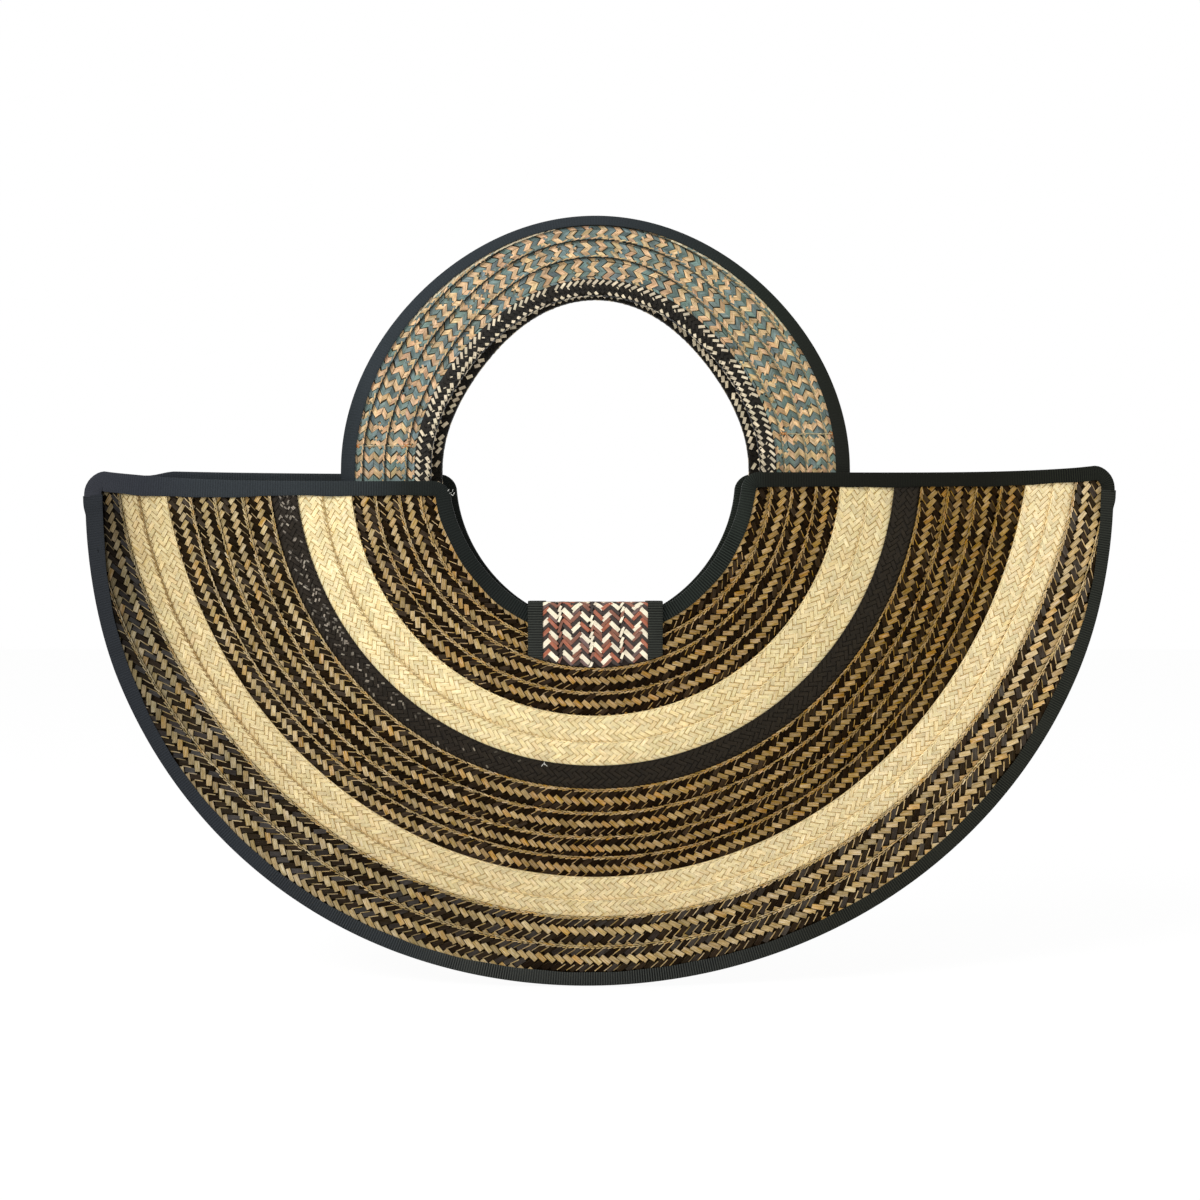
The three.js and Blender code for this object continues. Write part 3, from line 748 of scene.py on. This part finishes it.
def ribbon_material(name):
    """Ribbed tape: fine ribs across it, as strong as the third part of its grain, and a little fuzz. The ribs
    are a bump and also painted shade in the colour, lighter on their ridges and darker in their grooves.
    """
    material, tree, shader = new_material(name)
    tone, grain = carried(tree)
    parts = node(tree, "ShaderNodeSeparateXYZ", {0: grain}).outputs
    rib = waves(tree, parts[0], RIB_PITCH)
    fuzz = noise(tree, grain, 2.6, 4.0)
    wander = ranged(tree, noise(tree, grain, 0.05, 2.0), 0.6, 1.3, 0.35, 0.65)
    strength = calculated(tree, "MULTIPLY", parts[2], wander)
    # Painted shade of the ribs: the colour is lighter on their ridges and darker in their grooves
    ridge = calculated(tree, "MULTIPLY_ADD", rib, strength, 0.6)
    height = calculated(tree, "MULTIPLY_ADD", rib, strength, fuzz)
    plug(tree, shader, {
        "Base Color": shaded(tree, tone, calculated(tree, "MULTIPLY_ADD", fuzz, 0.9, ridge)),
        "Roughness": 0.7,
        "Normal": relief(tree, 0.8, 0.0004, height),
        "Specular IOR Level": 0.12,
    })
    return material


def lining_material(name):
    """Plain woven cotton with slubs."""
    material, tree, shader = new_material(name)
    tone, grain = carried(tree)
    parts = node(tree, "ShaderNodeSeparateXYZ", {0: grain}).outputs
    weave = calculated(tree, "MULTIPLY", *[waves(tree, parts[way], COTTON_PITCH) for way in (0, 1)])
    shade = ranged(tree, noise(tree, grain, 0.5, 5.0), 0.86, 1.08)
    plug(tree, shader, {
        "Base Color": shaded(tree, tone, shade),
        "Roughness": 0.9,
        "Normal": relief(tree, 0.4, 0.0002, weave),
    })
    return material


def metal_material(name):
    """Steel with fine wear."""
    material, tree, shader = new_material(name)
    place = node(tree, "ShaderNodeTexCoord")
    scratch = noise(tree, place.outputs["Object"], 900.0, 4.0)
    mix = {"Factor": scratch, "A": (0.5, 0.49, 0.47, 1), "B": (0.68, 0.67, 0.65, 1)}
    colour = node(tree, "ShaderNodeMix", mix, data_type="RGBA")
    plug(tree, shader, {
        "Base Color": colour.outputs["Result"],
        "Roughness": ranged(tree, scratch, 0.2, 0.5, 0, 1),
        "Metallic": 1.0,
    })
    return material


# The material of each slot. Straws: roughness, strength of streaks and of blotches, shine and how
# golden the dark streaks are
STRAWS = {
    "straw_brown": (0.5, 0.36, 0.16, 0.03, 0.35),
    "straw_natural": (0.62, 0.13, 0.08, 0.16, 0.2),
    "straw_dark": (0.45, 0.25, 0.25, 0.14, 0.15),
    "straw_handle": (0.62, 0.36, 0.28, 0.16, 0.15),
    "braid_edging": (0.5, 0.16, 0.16, 0.16, 0.15),
    "straw_tab": (0.6, 0.12, 0.1, 0.16, 0.15),
}
LOOKS = {slot: straw_material(slot, *values) for slot, values in STRAWS.items()}
LOOKS["ribbon"] = ribbon_material("ribbed_tape")
LOOKS["lining"] = lining_material("lining_cotton")
LOOKS["metal"] = metal_material("snap_metal")

# The panels

SLANT = 38
PLAIN_FIRST = 1.9
PLAIN_STEP = 3.1
# Two-tone braids, inner and outer: places of the columns of straws, colours and tint of the dark ones,
# pitch, length and width of the straws, and length, width and share missing of the slivers
TWO_TONE = [
    ((2.9, 6.4, 9.9, 13.4, 16.9), DARKS, INNER_DARK, 4.1, 5.4, 2.45, (3.7, 0.42, 0.5)),
    ((3.4, 7.6, 11.8, 16.0), OUTER_DARKS, OUTER_DARK, 4.6, 6.2, 2.75, (5.2, 0.5, 0.3)),
]


def weave_two_tone(cloth, strip, under_mouth, columns, darks, dark_tint, pitch, length, width, slivers):
    """Columns of dark and of tan straws in turn, with thin tan slivers between the dark ones."""
    lay_ground(cloth, strip, BROWN_GAP_SHADE)
    tan_tint = cloth.tint
    for column, v in enumerate(columns):
        phase = v * 0.45 + cloth.random.uniform(0, pitch)
        if column % 2:
            weave_column(cloth, strip, v, pitch, phase, SLANT, length, width, TANS, under_mouth, rim=DARK,
                         uneven=0.2)
            continue
        # The dark straws take their own tint, with its painted sheen and shade
        cloth.tint = dark_tint
        weave_column(cloth, strip, v, pitch, phase, -SLANT, length, width, darks, under_mouth,
                     rim=TAN * 0.3, uneven=0.2)
        cloth.tint = tan_tint
        weave_column(cloth, strip, v, pitch, phase + pitch / 2, -SLANT, slivers[0], slivers[1], TAN * 0.9,
                     under_mouth, slivers[2], lift=0.05, flat=-0.3, uneven=0.5)
    lay_fold(cloth, strip, TANS, under_mouth)


def weave_plain(cloth, strip, tones, shade, depth, fold):
    """A finer lattice in one colour."""
    lay_ground(cloth, strip, shade, sink=0.1 + depth)
    for column in range(6):
        v = PLAIN_FIRST + PLAIN_STEP * column
        weave_column(cloth, strip, v, 3.3, v * 0.5, SLANT if column % 2 else -SLANT, 4.9, 1.95, tones,
                     flat=-depth, uneven=0.11, stray=0.22, rim=shade)
    lay_fold(cloth, strip, fold, width=0.46)


def lay_painted_glints(cloth, strip):
    """Painted highlights: pale flecks where straws of the dark braid catch the light, towards its left end.
    """
    tries = 380
    reach = 0.42 * strip.end
    u, v = cloth.random.uniform(3, reach, tries), cloth.random.uniform(1.5, 10.5, tries)
    kept = cloth.random.uniform(0, 1, tries) > (u / reach) ** 0.7
    slant = np.where(np.round((v[kept] - PLAIN_FIRST) / PLAIN_STEP) % 2, SLANT, -SLANT)
    lay_bars(cloth, strip.place, u[kept], v[kept], slant, 1.8, 0.85, PAINTED_GLINT, lift=0.04, flat=0.0, uneven=0.7)


# The tint of each kind of strip, for inner and outer ones, and the first index of the outer ones
TINTS = {
    "brown": (INNER_BROWN, OUTER_BROWN),
    "natural": (INNER_PALE, OUTER_PALE),
    "dark": (DARK_BRAID, DARK_BRAID),
}
OUTER_FROM = {"brown": 13, "natural": 11, "dark": 13}


def make_panel_strip(side, index):
    kind = STRIPS[index][0]
    outer = index >= OUTER_FROM[kind]
    strip = PanelStrip(side, index)
    cloth = Cloth(100 * index + len(side), TINTS[kind][outer])
    if kind == "brown":
        weave_two_tone(cloth, strip, 4.5 if index == 0 else -1.0, *TWO_TONE[outer])
    elif kind == "natural":
        weave_plain(cloth, strip, NATURALS, NATURAL_SHADE, 0.14, PALE_SEAM if index in (5, 12) else NATURAL)
    else:
        weave_plain(cloth, strip, BLACK_STRAW, BLACK_GAP_SHADE, 0.05, BLACK_STRAW)
        if side == "front":
            lay_painted_glints(cloth, strip)
    if index == len(STRIPS) - 1:
        weave_column(cloth, strip, 0.85, 3.1, 0.5, 7, 2.3, 0.34, DARK, lift=0.2, flat=-0.3, uneven=0.3,
                     missing=0.15)
    cloth.tint = None
    if (side, index) == ("front", 0):
        lay_corner_stitches(cloth)
    if (side, index) == ("front", 6):
        lay_stray_thread(cloth, strip)
    cloth.piece(f"{side}_strip_{index + 1:02d}", f"straw_{kind}", [f"{side}_braid_{index + 1}_{kind}"])


def lay_stray_thread(cloth, strip):
    """A loose end of white thread on the dark braid's fold."""
    u, v = 0.44 * strip.end + np.array([0, 0.9, -0.7]), [0.9, 1.8, 2.0]
    lay_bars(cloth, strip.place, u, v, [70, 30, 120], 1.9, 0.3, WHITE_THREAD, lift=0.2, flat=0.0)


def lay_corner_stitches(cloth):
    """White hand stitches on the mouth ribbon, at the front panel's left inner corner."""
    def on_tape(u, v, rise):
        return bend("front", u, v, RIBBON_BASE + RIBBON_THICKNESS + rise)

    u, v = [-71.4, -70.3, -69.2, -69.5, -68.6], [-9.2, -10.5, -9.3, -11.6, -10.7]
    lay_bars(cloth, on_tape, u, v, [50, 20, 75, -35, 60], 1.2, 0.28, CORNER_THREAD, flat=-0.05, lift=-0.05,
             uneven=0.4)


def make_lining(side):
    cloth = Cloth()
    share = np.linspace(0, 1, 121)[:, None]
    steps = np.linspace(0, 1, 25)[None]
    mouth = seam_radius(0, share * np.pi)
    radius = mouth + steps * (outline_radius(share * np.pi) - mouth)
    x, z = flat_point(side, radius, share)
    grain = joined(x, z, 0.0)
    cloth.add(bend(side, x, z, LINING_THICKNESS / 2)[None], LINING, grain[None])
    made = cloth.piece(f"{side}_lining_cloth", "lining", [f"{side}_lining"])


# The ribbons


def folded_section(width, edge_height, tip_height, thickness=RIBBON_THICKNESS):
    """A tape folded round an edge, as [inset, height] in a closed loop; its corners are rounded. Its
    width and both heights may be arrays along the tape."""
    width, edge_height, tip_height = np.broadcast_arrays(width, edge_height, np.atleast_1d(tip_height))
    out = GAP + thickness
    face = edge_height + thickness
    climb = tip_height - edge_height
    loop = [(width, face + climb - 0.12)]
    loop += [(part * (width + out) - out, face + part * climb) for part in (0.97, 0.75, 0.5, 0.25)]
    loop += [(0.45 - out, face - 0.02), (0.1 - out, face - 0.2), (-out, face - 0.6), (-out, 0.2),
             (0.1 - out, 0.2 - out), (0.5 - out, -out)]
    loop += [(part * (width + out) - out, -out) for part in (0.3, 0.6, 0.97)]
    loop += [(width, 0.1 - out), (width, -GAP - 0.02), (0.5, -GAP), (-GAP, 0.1), (-GAP, edge_height - 0.3),
             (0.6, edge_height + 0.1 * climb), (width, tip_height + 0.02)]
    return np.stack([joined(inset, height, width)[..., :2] for inset, height in loop], axis=1)


def top_edge_path(side, end):
    """Outer corner, top edge and inner corner of one end, drawn on the right."""
    outer_x = OUTLINE_END[end] - OUTER_CORNER
    inner_z = top_height(side, end, MOUTH_RADIUS) - MOUTH_CORNER
    inner_x = np.sqrt(MOUTH_RADIUS**2 - inner_z**2) + MOUTH_CORNER
    outer_z = top_height(side, end, outer_x) - OUTER_CORNER
    x = np.linspace(outer_x, inner_x, 60)[1:-1]
    return np.concatenate([
        [[outer_x + OUTER_CORNER, outer_z - 2]],
        arc(outer_x, outer_z, OUTER_CORNER, 0, 90),
        joined(x, top_height(side, end, x)),
        arc(inner_x, inner_z, MOUTH_CORNER, 90, 180)[:-1],
    ])


def make_mouth_ribbon(side):
    """The ribbon lies flat along both top edges, and round the mouth its tip lies on the braids."""
    right = top_edge_path(side, "right")
    left = top_edge_path(side, "left")[::-1] * [-1, 1]
    share = np.linspace(0, 1, 181)
    angle = share * np.pi
    mouth = seam_radius(0, angle)
    points = np.concatenate([right, joined(*flat_point(side, mouth, share)), left])
    tip = np.full(len(points), RIBBON_BASE)
    tip[len(right):-len(left)] = surface_height(mouth + RIBBON_WIDTH, angle) + GAP
    length = lengths_along(points)
    width = RIBBON_WIDTH + 0.18 * np.sin(length / 9) + 0.12 * np.sin(length / 3.7)
    if side == "front":
        width += np.interp(points[:, 0], [-238, -226, -150], [2.6, 3.0, 0])
    section = folded_section(width, RIBBON_BASE, tip)
    flat = points[:, None, :] + left_of(points)[:, None, :] * section[..., :1]
    placed = bend(side, flat[..., 0], flat[..., 1], section[..., 1])
    # How strongly the ribs show along the tape, as bump and as painted shade
    ribs = np.interp(points[:, :1], [-250, -120, -60, 60, 90, 200, 215, 250],
                     [0.12, 0.25, 0.3, 0.8, 0.25, 0.25, 0.8, 0.9])
    cloth = Cloth(tint=MOUTH_TAPE)
    cloth.add_loop(placed, np.ones(3), length[:, None], section[..., 0], ribs)
    cloth.piece(f"{side}_mouth_tape", "ribbon", [f"{side}_mouth_ribbon"])


def make_seam_ribbon():
    """The ribbon folded over the outer edge of both panels. It is thicker where it is tucked in at its
    ends, and wider towards the left one."""
    start = 1.4 / (np.pi * DROP)
    share = np.linspace(start, 1 - start, 421)
    angle = share * np.pi
    from_end = (np.minimum(share, 1 - share) - start) * np.pi * DROP
    thick = RIBBON_THICKNESS + np.interp(from_end, [0, 5, 9.6], [0.9, 0.8, 0])
    width = RIBBON_WIDTH + np.interp(share, [0.84, 0.93, 0.985, 1], [0, 1.8, 3.0, 3.0])
    width += 0.15 * np.sin(share * 60) + 0.12 * np.sin(share * 190)
    last = outline_radius(angle) - seam_radius(len(STRIPS) - 1, angle)
    tip = surface_height(outline_radius(angle) - width, angle) + GAP
    tip = SEAM_HALF_GAP + np.where(last < 2 * RIBBON_WIDTH, RIBBON_BASE, tip)
    edge = SEAM_HALF_GAP + STRIP_EDGE + GAP
    out = -GAP - thick
    face = edge + thick
    # Half the section, as (inset, depth), and its inside
    half = [(width, tip + 0.02), (width, face + tip - edge - 0.12)]
    half += [(out + part * (width - out), face + part * (tip - edge)) for part in (0.97, 0.75, 0.5, 0.25)]
    half += [(out + 0.5, face - 0.03), (out + 0.12, face - 0.3), (out, face - 0.8), (out, edge * 0.5)]
    half += [(out, 0)]
    inside = [(RIBBON_WIDTH * 0.5, edge + 0.5 * (tip - edge) - 0.02), (-GAP, edge - 0.1)]
    front = [(inset, -depth) for inset, depth in half]
    loop = front + half[-2::-1] + inside + [(inset, -depth) for inset, depth in inside[::-1]]
    insets, depths = (joined(share, *values)[:, 1:] for values in zip(*loop))
    share = share[:, None]
    placed = []
    for side in ("front", "rear"):
        x, z = flat_point(side, outline_radius(share * np.pi), share)
        scale = 1 - insets / np.hypot(x, z)
        placed.append(bend(side, x * scale, z * scale, np.abs(depths) - SEAM_HALF_GAP))
    points = np.where((depths < 0)[..., None], placed[0], placed[1])
    # How strongly the ribs show along the tape, as bump and as painted shade
    ribs = np.interp(share, [0, 0.3, 0.5, 0.75, 1], [0.6, 0.7, 0.95, 0.3, 0.12])
    cloth = Cloth(tint=SEAM_TAPE)
    cloth.add_loop(points, np.ones(3), share * np.pi * DROP, insets, ribs)
    cloth.piece("seam_tape", "ribbon", ["seam_ribbon"])


# The handles

EDGING_DARK = [(5.9, 45), (3.7, -45), (0.9, 45), (-1.6, -45), (-3.9, 45), (-6.3, -45), (-8.6, 45), (-11, -45)]
# Pale straws of the edging: place across it, slant, length, width, pitch, share missing, and where
# along the handle
EDGING_PALE = [
    (6.3, 42, 3.6, 1.45, 3.4, 0.2, (0, 1)), (4.2, -40, 1.5, 0.6, 6.6, 0.3, (0, 1)),
    (1.3, 33, 3.8, 1.8, 3.45, 0.1, (0, 0.27)), (0.4, -42, 2.4, 1.5, 3.8, 0.15, (0.27, 0.73)),
    (1.3, 33, 3.8, 1.8, 3.45, 0.1, (0.73, 1)), (-2.6, 33, 3.4, 1.5, 3.7, 0.5, (0, 1)),
    (-7.5, 33, 3.8, 1.8, 3.6, 0.25, (0, 1)), (-10.6, -36, 2.8, 1.3, 4.6, 0.3, (0, 1)),
]


def weave_handle(cloth, strip):
    lay_ground(cloth, strip, HANDLE_GAP_SHADE, step=3.0)
    hidden = 4.0 if strip.index == 0 else -1.0
    for column in range(7):
        slant = 44 if column % 2 else -44
        v = 1.7 + 2.65 * column
        weave_column(cloth, strip, v, 3.8, 0.0, slant, 4.1, 2.55, [HANDLE_TAN, TEAL], hidden, sheared=True,
                     uneven=0.32, mottle=0.06, stray=0.3, rim=HANDLE_RIM)
        weave_column(cloth, strip, v, 3.8, 1.9, -slant, 2.5, 1.1, (HANDLE_TAN, TEAL, TEAL, HANDLE_RIM),
                     hidden, missing=0.8, lift=0.08, flat=-0.2, uneven=0.3)
    if strip.index == 3:
        lay_pale_edge(cloth, strip)
    if strip.index > 0:
        weave_column(cloth, strip, 0.25, 3.0, 0.0, 3, 3.2, 0.45, HANDLE_THREAD, lift=0.1, flat=-0.5)
        weave_column(cloth, strip, 0.95, 3.0, 0.0, 14, 3.0, 0.7, (HANDLE_TAN, TEAL, PALE_TAN), lift=0.14,
                     flat=-0.4, uneven=0.25)


def lay_pale_edge(cloth, strip):
    """The outermost braid's pale edge, which peeks out beside the ribbon on both shoulders."""
    u = rows_along(strip, 3.0)
    angle = np.degrees(strip.angle_at(u))
    u = u[((angle > 100) & (angle < 142)) | ((angle > 36) & (angle < 72))]
    lay_bars(cloth, strip.place, u, strip.ribbon_at(u) - 0.6, 3, 3.2, 1.0, PALE_EDGE, lift=0.2, flat=-0.3,
             uneven=0.2)


def lay_leg_threads(cloth, side):
    """A thread across each leg of the handle, with a small cross at both ends."""
    strips = [HandleStrip(side, index) for index in range(4)]
    for sign, height in ((-1, 13.5), (1, 19.5)):
        def on_leg(u, v, rise):
            up = height + v - HANDLE_CENTRE
            radius, angle = np.hypot(u, up), np.arctan2(up, u)
            face = face_height([strip.edges(angle) for strip in strips], radius)
            return on_handle(side, angle if sign > 0 else np.pi - angle, radius, face + rise)

        lay_bars(cloth, on_leg, np.arange(92, 119, 3.0), 0.0, 3, 3.1, 0.55, LEG_THREAD, lift=0.25, flat=0.0)
        ends = np.array([91.5, 93, 117, 118.5])
        for slant in (40, -40):
            lay_bars(cloth, on_leg, ends, 0.0, slant, 2.6, 0.5, KNOT_THREAD, lift=0.3, flat=0.0)


def make_handle(side):
    body = BODY[side]
    for index in range(4):
        strip = HandleStrip(side, index)
        cloth = Cloth(900 + 10 * index + len(side), HANDLE_STRAW)
        weave_handle(cloth, strip)
        if index == 1:
            lay_leg_threads(cloth, side)
        nodes = [f"{side}_handle_braid_{index + 1}"]
        cloth.piece(f"{side}_handle_strip_{index + 1}", "straw_handle", nodes, body)
    strip = HandleStrip(side, 0)
    u = np.linspace(0, strip.end, 160)[:, None]
    angle = strip.angle_at(u)
    inner, outer = handle_seam(side, 0, angle), handle_seam(side, 4, angle)

    cloth = Cloth()
    steps = np.linspace(0, 1, 9)
    radius = inner + np.concatenate([steps, steps[::-1]]) * (outer - inner)
    height = np.repeat([LINING_THICKNESS, 0.0], len(steps))
    cloth.add_loop(strip.on_side(u, radius, height), LINING, u, radius, 0.0)
    cloth.piece(f"{side}_handle_backing_cloth", "lining", [f"{side}_handle_backing"], body)

    cloth = Cloth(14)
    lay_edging(cloth, strip)
    cloth.piece(f"{side}_handle_edging_braid", "braid_edging", [f"{side}_handle_edging"], body)

    cloth = Cloth(tint=HANDLE_TAPE)
    section = folded_section(handle_ribbon_width(angle[:, 0]), STRIP_EDGE + GAP, RIBBON_BASE)
    placed = strip.on_side(u, outer - section[..., 0], section[..., 1])
    cloth.add_loop(placed, np.ones(3), u * 1.2, section[..., 0], 0.08)
    cloth.piece(f"{side}_handle_tape", "ribbon", [f"{side}_handle_ribbon"], body)


def lay_edging(cloth, strip):
    """Dark braid folded round the handle's inner edge, with pale straws in it."""
    def tip_at(u):
        inner, outer = strip.edges_at(u)
        return shingle_height(inner, outer, inner + EDGING_WIDTH) + GAP

    end = strip.end
    u = np.linspace(0, end, 200)[:, None]
    section = folded_section(EDGING_WIDTH, RIBBON_BASE, tip_at(u[:, 0]), EDGING_THICKNESS - 0.25)
    placed = strip.on_side(u, strip.edges_at(u)[0] + section[..., 0], section[..., 1])
    cloth.add_loop(placed, EDGING_GAP_SHADE, u, section[..., 0], 0.0)

    def on_edging(u, w, rise):
        """w counts from the fold: out along the front leg, and below 0 over the fold to the back."""
        face, out = RIBBON_BASE + EDGING_THICKNESS, GAP + EDGING_THICKNESS
        front, fold = np.clip(w, 0, None), np.clip(-w, 0, face + out)
        back = np.clip(-w - face - out, 0, None)
        turn = np.pi / 2 * (np.clip(0.5 - w / 1.2, 0, 1) + np.clip(0.5 - (w + face + out) / 1.2, 0, 1))
        inset = front + back - out - rise * np.sin(turn)
        height = face - fold + front / (EDGING_WIDTH + out) * (tip_at(u) - RIBBON_BASE)
        return strip.on_side(u, strip.edges_at(u)[0] + inset, height + rise * np.cos(turn))

    for w, slant in EDGING_DARK:
        u = np.arange(2.6, end - 2.4, 2.7)
        lay_bars(cloth, on_edging, u, w, slant, 3.4, 1.8, EDGING_BLACK, flat=-0.25, lift=-0.05,
                 rim=EDGING_GAP_SHADE)
    for w, slant, length, width, pitch, missing, (first, last) in EDGING_PALE:
        u = np.arange(max(2.8, first * end), min(end - 2.8, last * end), pitch)
        u = u[cloth.random.uniform(0, 1, len(u)) > missing]
        # Straws over the fold and on the back leg are painted lighter: painted light against the shade they
        # lie in
        tone = CREAM * (1.35 if w < 0 else 1.0)
        lay_bars(cloth, on_edging, u, w, slant, length, width, tone, lift=0.06, flat=-0.2, uneven=0.25)


# The closing tab

# Columns of the tab: place across it, slant, and where along it a pale straw lies
TAB_COLUMNS = [
    (-24.4, 45, 0.9), (-20.6, -45, 5.5), (-13.5, -45, 5.5), (-9.2, 45, 9.0), (-5.1, -45, 3.8),
    (1.4, -45, 9.6), (5.5, 45, 4.1), (9.4, -45, 9.6), (16.3, -45, 5.5), (20.4, 45, 9.6), (24.2, -45, 5.9),
]
TAB_SEAMS = [-17.0, -1.8, 12.9]
TAB_STRANDS = (TAB_CREAM, TAB_CREAM, TAB_DARK, RED_BROWN)
# Section of its side ribbons, as (inset, height)
TAB_RIBBON = [
    (7.3, 2.3), (7.1, 2.4), (4, 2.4), (1.5, 2.4), (0.4, 2.36), (0.08, 2.2), (0, 1.9), (0, 0.5), (0.1, 0.15),
    (0.5, 0), (4, 0), (7.2, 0), (7.3, 0.3), (3, 0.4), (0.4, 0.6), (0.4, 1.8), (3, 2.0),
]
TAB_PERIOD = 10.35
# The straws of one period: how far along it, colours to draw from, and width
TAB_CYCLE = [
    (0.0, (TAB_CREAM,), 2.5), (2.95, (TAB_DARK,), 1.9), (5.45, (RUST, RED_BROWN, RUST), 1.9),
    (7.95, (MAUVE, RED_BROWN, TAB_DARK), 1.7),
]


def weave_tab(cloth, place, kept, end):
    """The straws of one face of the tab: its columns, and the strands along its seams."""
    def lay_rows(start, pitch, across, tones, slant, length, width, **how):
        rows = np.arange(start, end, pitch)
        rows = rows[kept(rows, across)]
        tone = cloth.draw(tones, len(rows))
        lay_bars(cloth, place, rows, across, slant, length, width, tone, flat=-TAB_SINK, rim=TAB_GAP_SHADE,
                 **how)

    for across, slant, phase in TAB_COLUMNS:
        for offset, tones, width in TAB_CYCLE:
            start = phase + offset - 2 * TAB_PERIOD
            lay_rows(start, TAB_PERIOD, across, tones, slant, 6.5, width, uneven=0.1)
    for across in TAB_SEAMS:
        lay_rows(1.0, 2.5, across, TAB_STRANDS, 22, 3.6, 1.3, lift=0.08, stray=0.4)


def make_tab():
    tab = Tab()
    cloth = Cloth(16)
    v = np.linspace(0, tab.end, 100)[:, None]
    half = TAB_HALF - RIBBON_REACH
    steps = np.linspace(-half, half, 24)
    x = np.concatenate([steps, steps[::-1]])
    height = np.repeat([TAB_WOVEN[1] - TAB_SINK, TAB_WOVEN[0]], len(steps))
    cloth.add_loop(tab.place(x, v, height), TAB_GAP_SHADE, v, x, 0.0)

    def on_tab(u, v, rise):
        return tab.place(v, u, TAB_WOVEN[1] + rise)

    def on_back(u, v, rise):
        return tab.place(-v, u, TAB_WOVEN[0] - rise)

    def shown(rows, across):
        return rows > TAB_SEWN - np.sqrt(TAB_SEWN**2 - across**2) + 0.6

    def on_flap(rows, across):
        return rows > tab.path_v[0] - 9

    for place, kept in ((on_tab, shown), (on_back, on_flap)):
        weave_tab(cloth, place, kept, tab.end - 1.5)
    turn_over(cloth.piece("tab_strap", "straw_tab", ["tab_sewn_part", "tab_flap"], None))
    for name, sign in (("right", 1), ("left", -1)):
        cloth = Cloth(tint=TAB_TAPE)
        inset, height = np.array(TAB_RIBBON).T
        v = np.linspace(0, tab.end, 140)[:, None]
        cloth.add_loop(tab.place(sign * (TAB_HALF - inset), v, height), np.ones(3), v, inset, 0.7)
        nodes = [f"tab_sewn_ribbon_{name}", f"tab_flap_ribbon_{name}"]
        turn_over(cloth.piece(f"tab_tape_{name}", "ribbon", nodes, None))


def turn_over(piece):
    """Bakes the piece's transform into its mesh."""
    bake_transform(piece)


# The whole bag

for side in ("front", "rear"):
    make_lining(side)
    for index in range(len(STRIPS)):
        make_panel_strip(side, index)
    make_mouth_ribbon(side)
    make_handle(side)
make_seam_ribbon()
make_tab()
for name in ("panel_snap", "flap_snap"):
    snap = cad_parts[name]
    snap.data.materials.clear()
    snap.data.materials.append(LOOKS["metal"])

# Camera, floor and light


def fresh_tree(owner):
    owner.use_nodes = True
    owner.node_tree.nodes.clear()
    return owner.node_tree


def white_for_camera(tree, plain, white):
    """Shows the white shader to the camera and in reflections, and the plain one to other light."""
    path = node(tree, "ShaderNodeLightPath").outputs
    seen = calculated(tree, "MAXIMUM", path["Is Camera Ray"], path["Is Glossy Ray"])
    seen = calculated(tree, "MAXIMUM", seen, path["Is Transmission Ray"])
    return node(tree, "ShaderNodeMixShader", {0: seen, 1: plain, 2: white}).outputs[0]


def make_floor(height):
    mesh = bpy.data.meshes.new("floor")
    size = 6.0
    corners = [(-size, -size, height), (size, -size, height), (size, size, height), (-size, size, height)]
    mesh.from_pydata(corners, [], [(0, 1, 2, 3)])
    material = bpy.data.materials.new("white_floor")
    tree = fresh_tree(material)
    paint = node(tree, "ShaderNodeBsdfDiffuse", {"Color": (0.85, 0.85, 0.85, 1)}).outputs[0]
    glow = node(tree, "ShaderNodeEmission", {"Color": (1, 1, 1, 1), "Strength": 1.06}).outputs[0]
    pale = node(tree, "ShaderNodeMixShader", {0: 0.12, 1: glow, 2: paint}).outputs[0]
    node(tree, "ShaderNodeOutputMaterial", {"Surface": white_for_camera(tree, paint, pale)})
    mesh.materials.append(material)
    add_object("floor", mesh)


def make_light(name, place, size, power):
    light = bpy.data.lights.new(name, "AREA")
    light.size = size
    light.energy = power
    lamp = add_object(name, light)
    lamp.location = place
    direction = Vector(np.subtract(LIT_POINT, place))
    lamp.rotation_mode = "QUATERNION"
    lamp.rotation_quaternion = direction.to_track_quat("-Z", "Y")


def make_world(strength):
    world = bpy.data.worlds.new("studio")
    bpy.context.scene.world = world
    tree = fresh_tree(world)
    light, white = (
        node(tree, "ShaderNodeBackground", {"Color": (1, 1, 1, 1), "Strength": power}).outputs[0]
        for power in (strength, 1.0)
    )
    node(tree, "ShaderNodeOutputWorld", {"Surface": white_for_camera(tree, light, white)})


CAMERA_X = 0.00225
CAMERA_Z = -0.1517
CAMERA_DISTANCE = 0.88
FRAME_WIDTH = 0.6
SENSOR_WIDTH = 36
LIT_POINT = (0, 0, -0.15)

camera_data = bpy.data.cameras.new("camera")
camera_data.sensor_width = SENSOR_WIDTH
camera_data.lens = SENSOR_WIDTH * CAMERA_DISTANCE / FRAME_WIDTH
camera = add_object("camera", camera_data)
camera.location = (CAMERA_X, -CAMERA_DISTANCE, CAMERA_Z)
camera.rotation_euler = (np.pi / 2, 0, 0)
bpy.context.scene.camera = camera

make_floor(cad_box[0][2] - 0.0005)
make_world(0.52)
make_light("key", (-1.1, -1.5, 1.2), 0.8, 30)
make_light("fill", (1.4, -1.2, 0.2), 1.4, 5)

bpy.context.scene.view_settings.view_transform = "Standard"
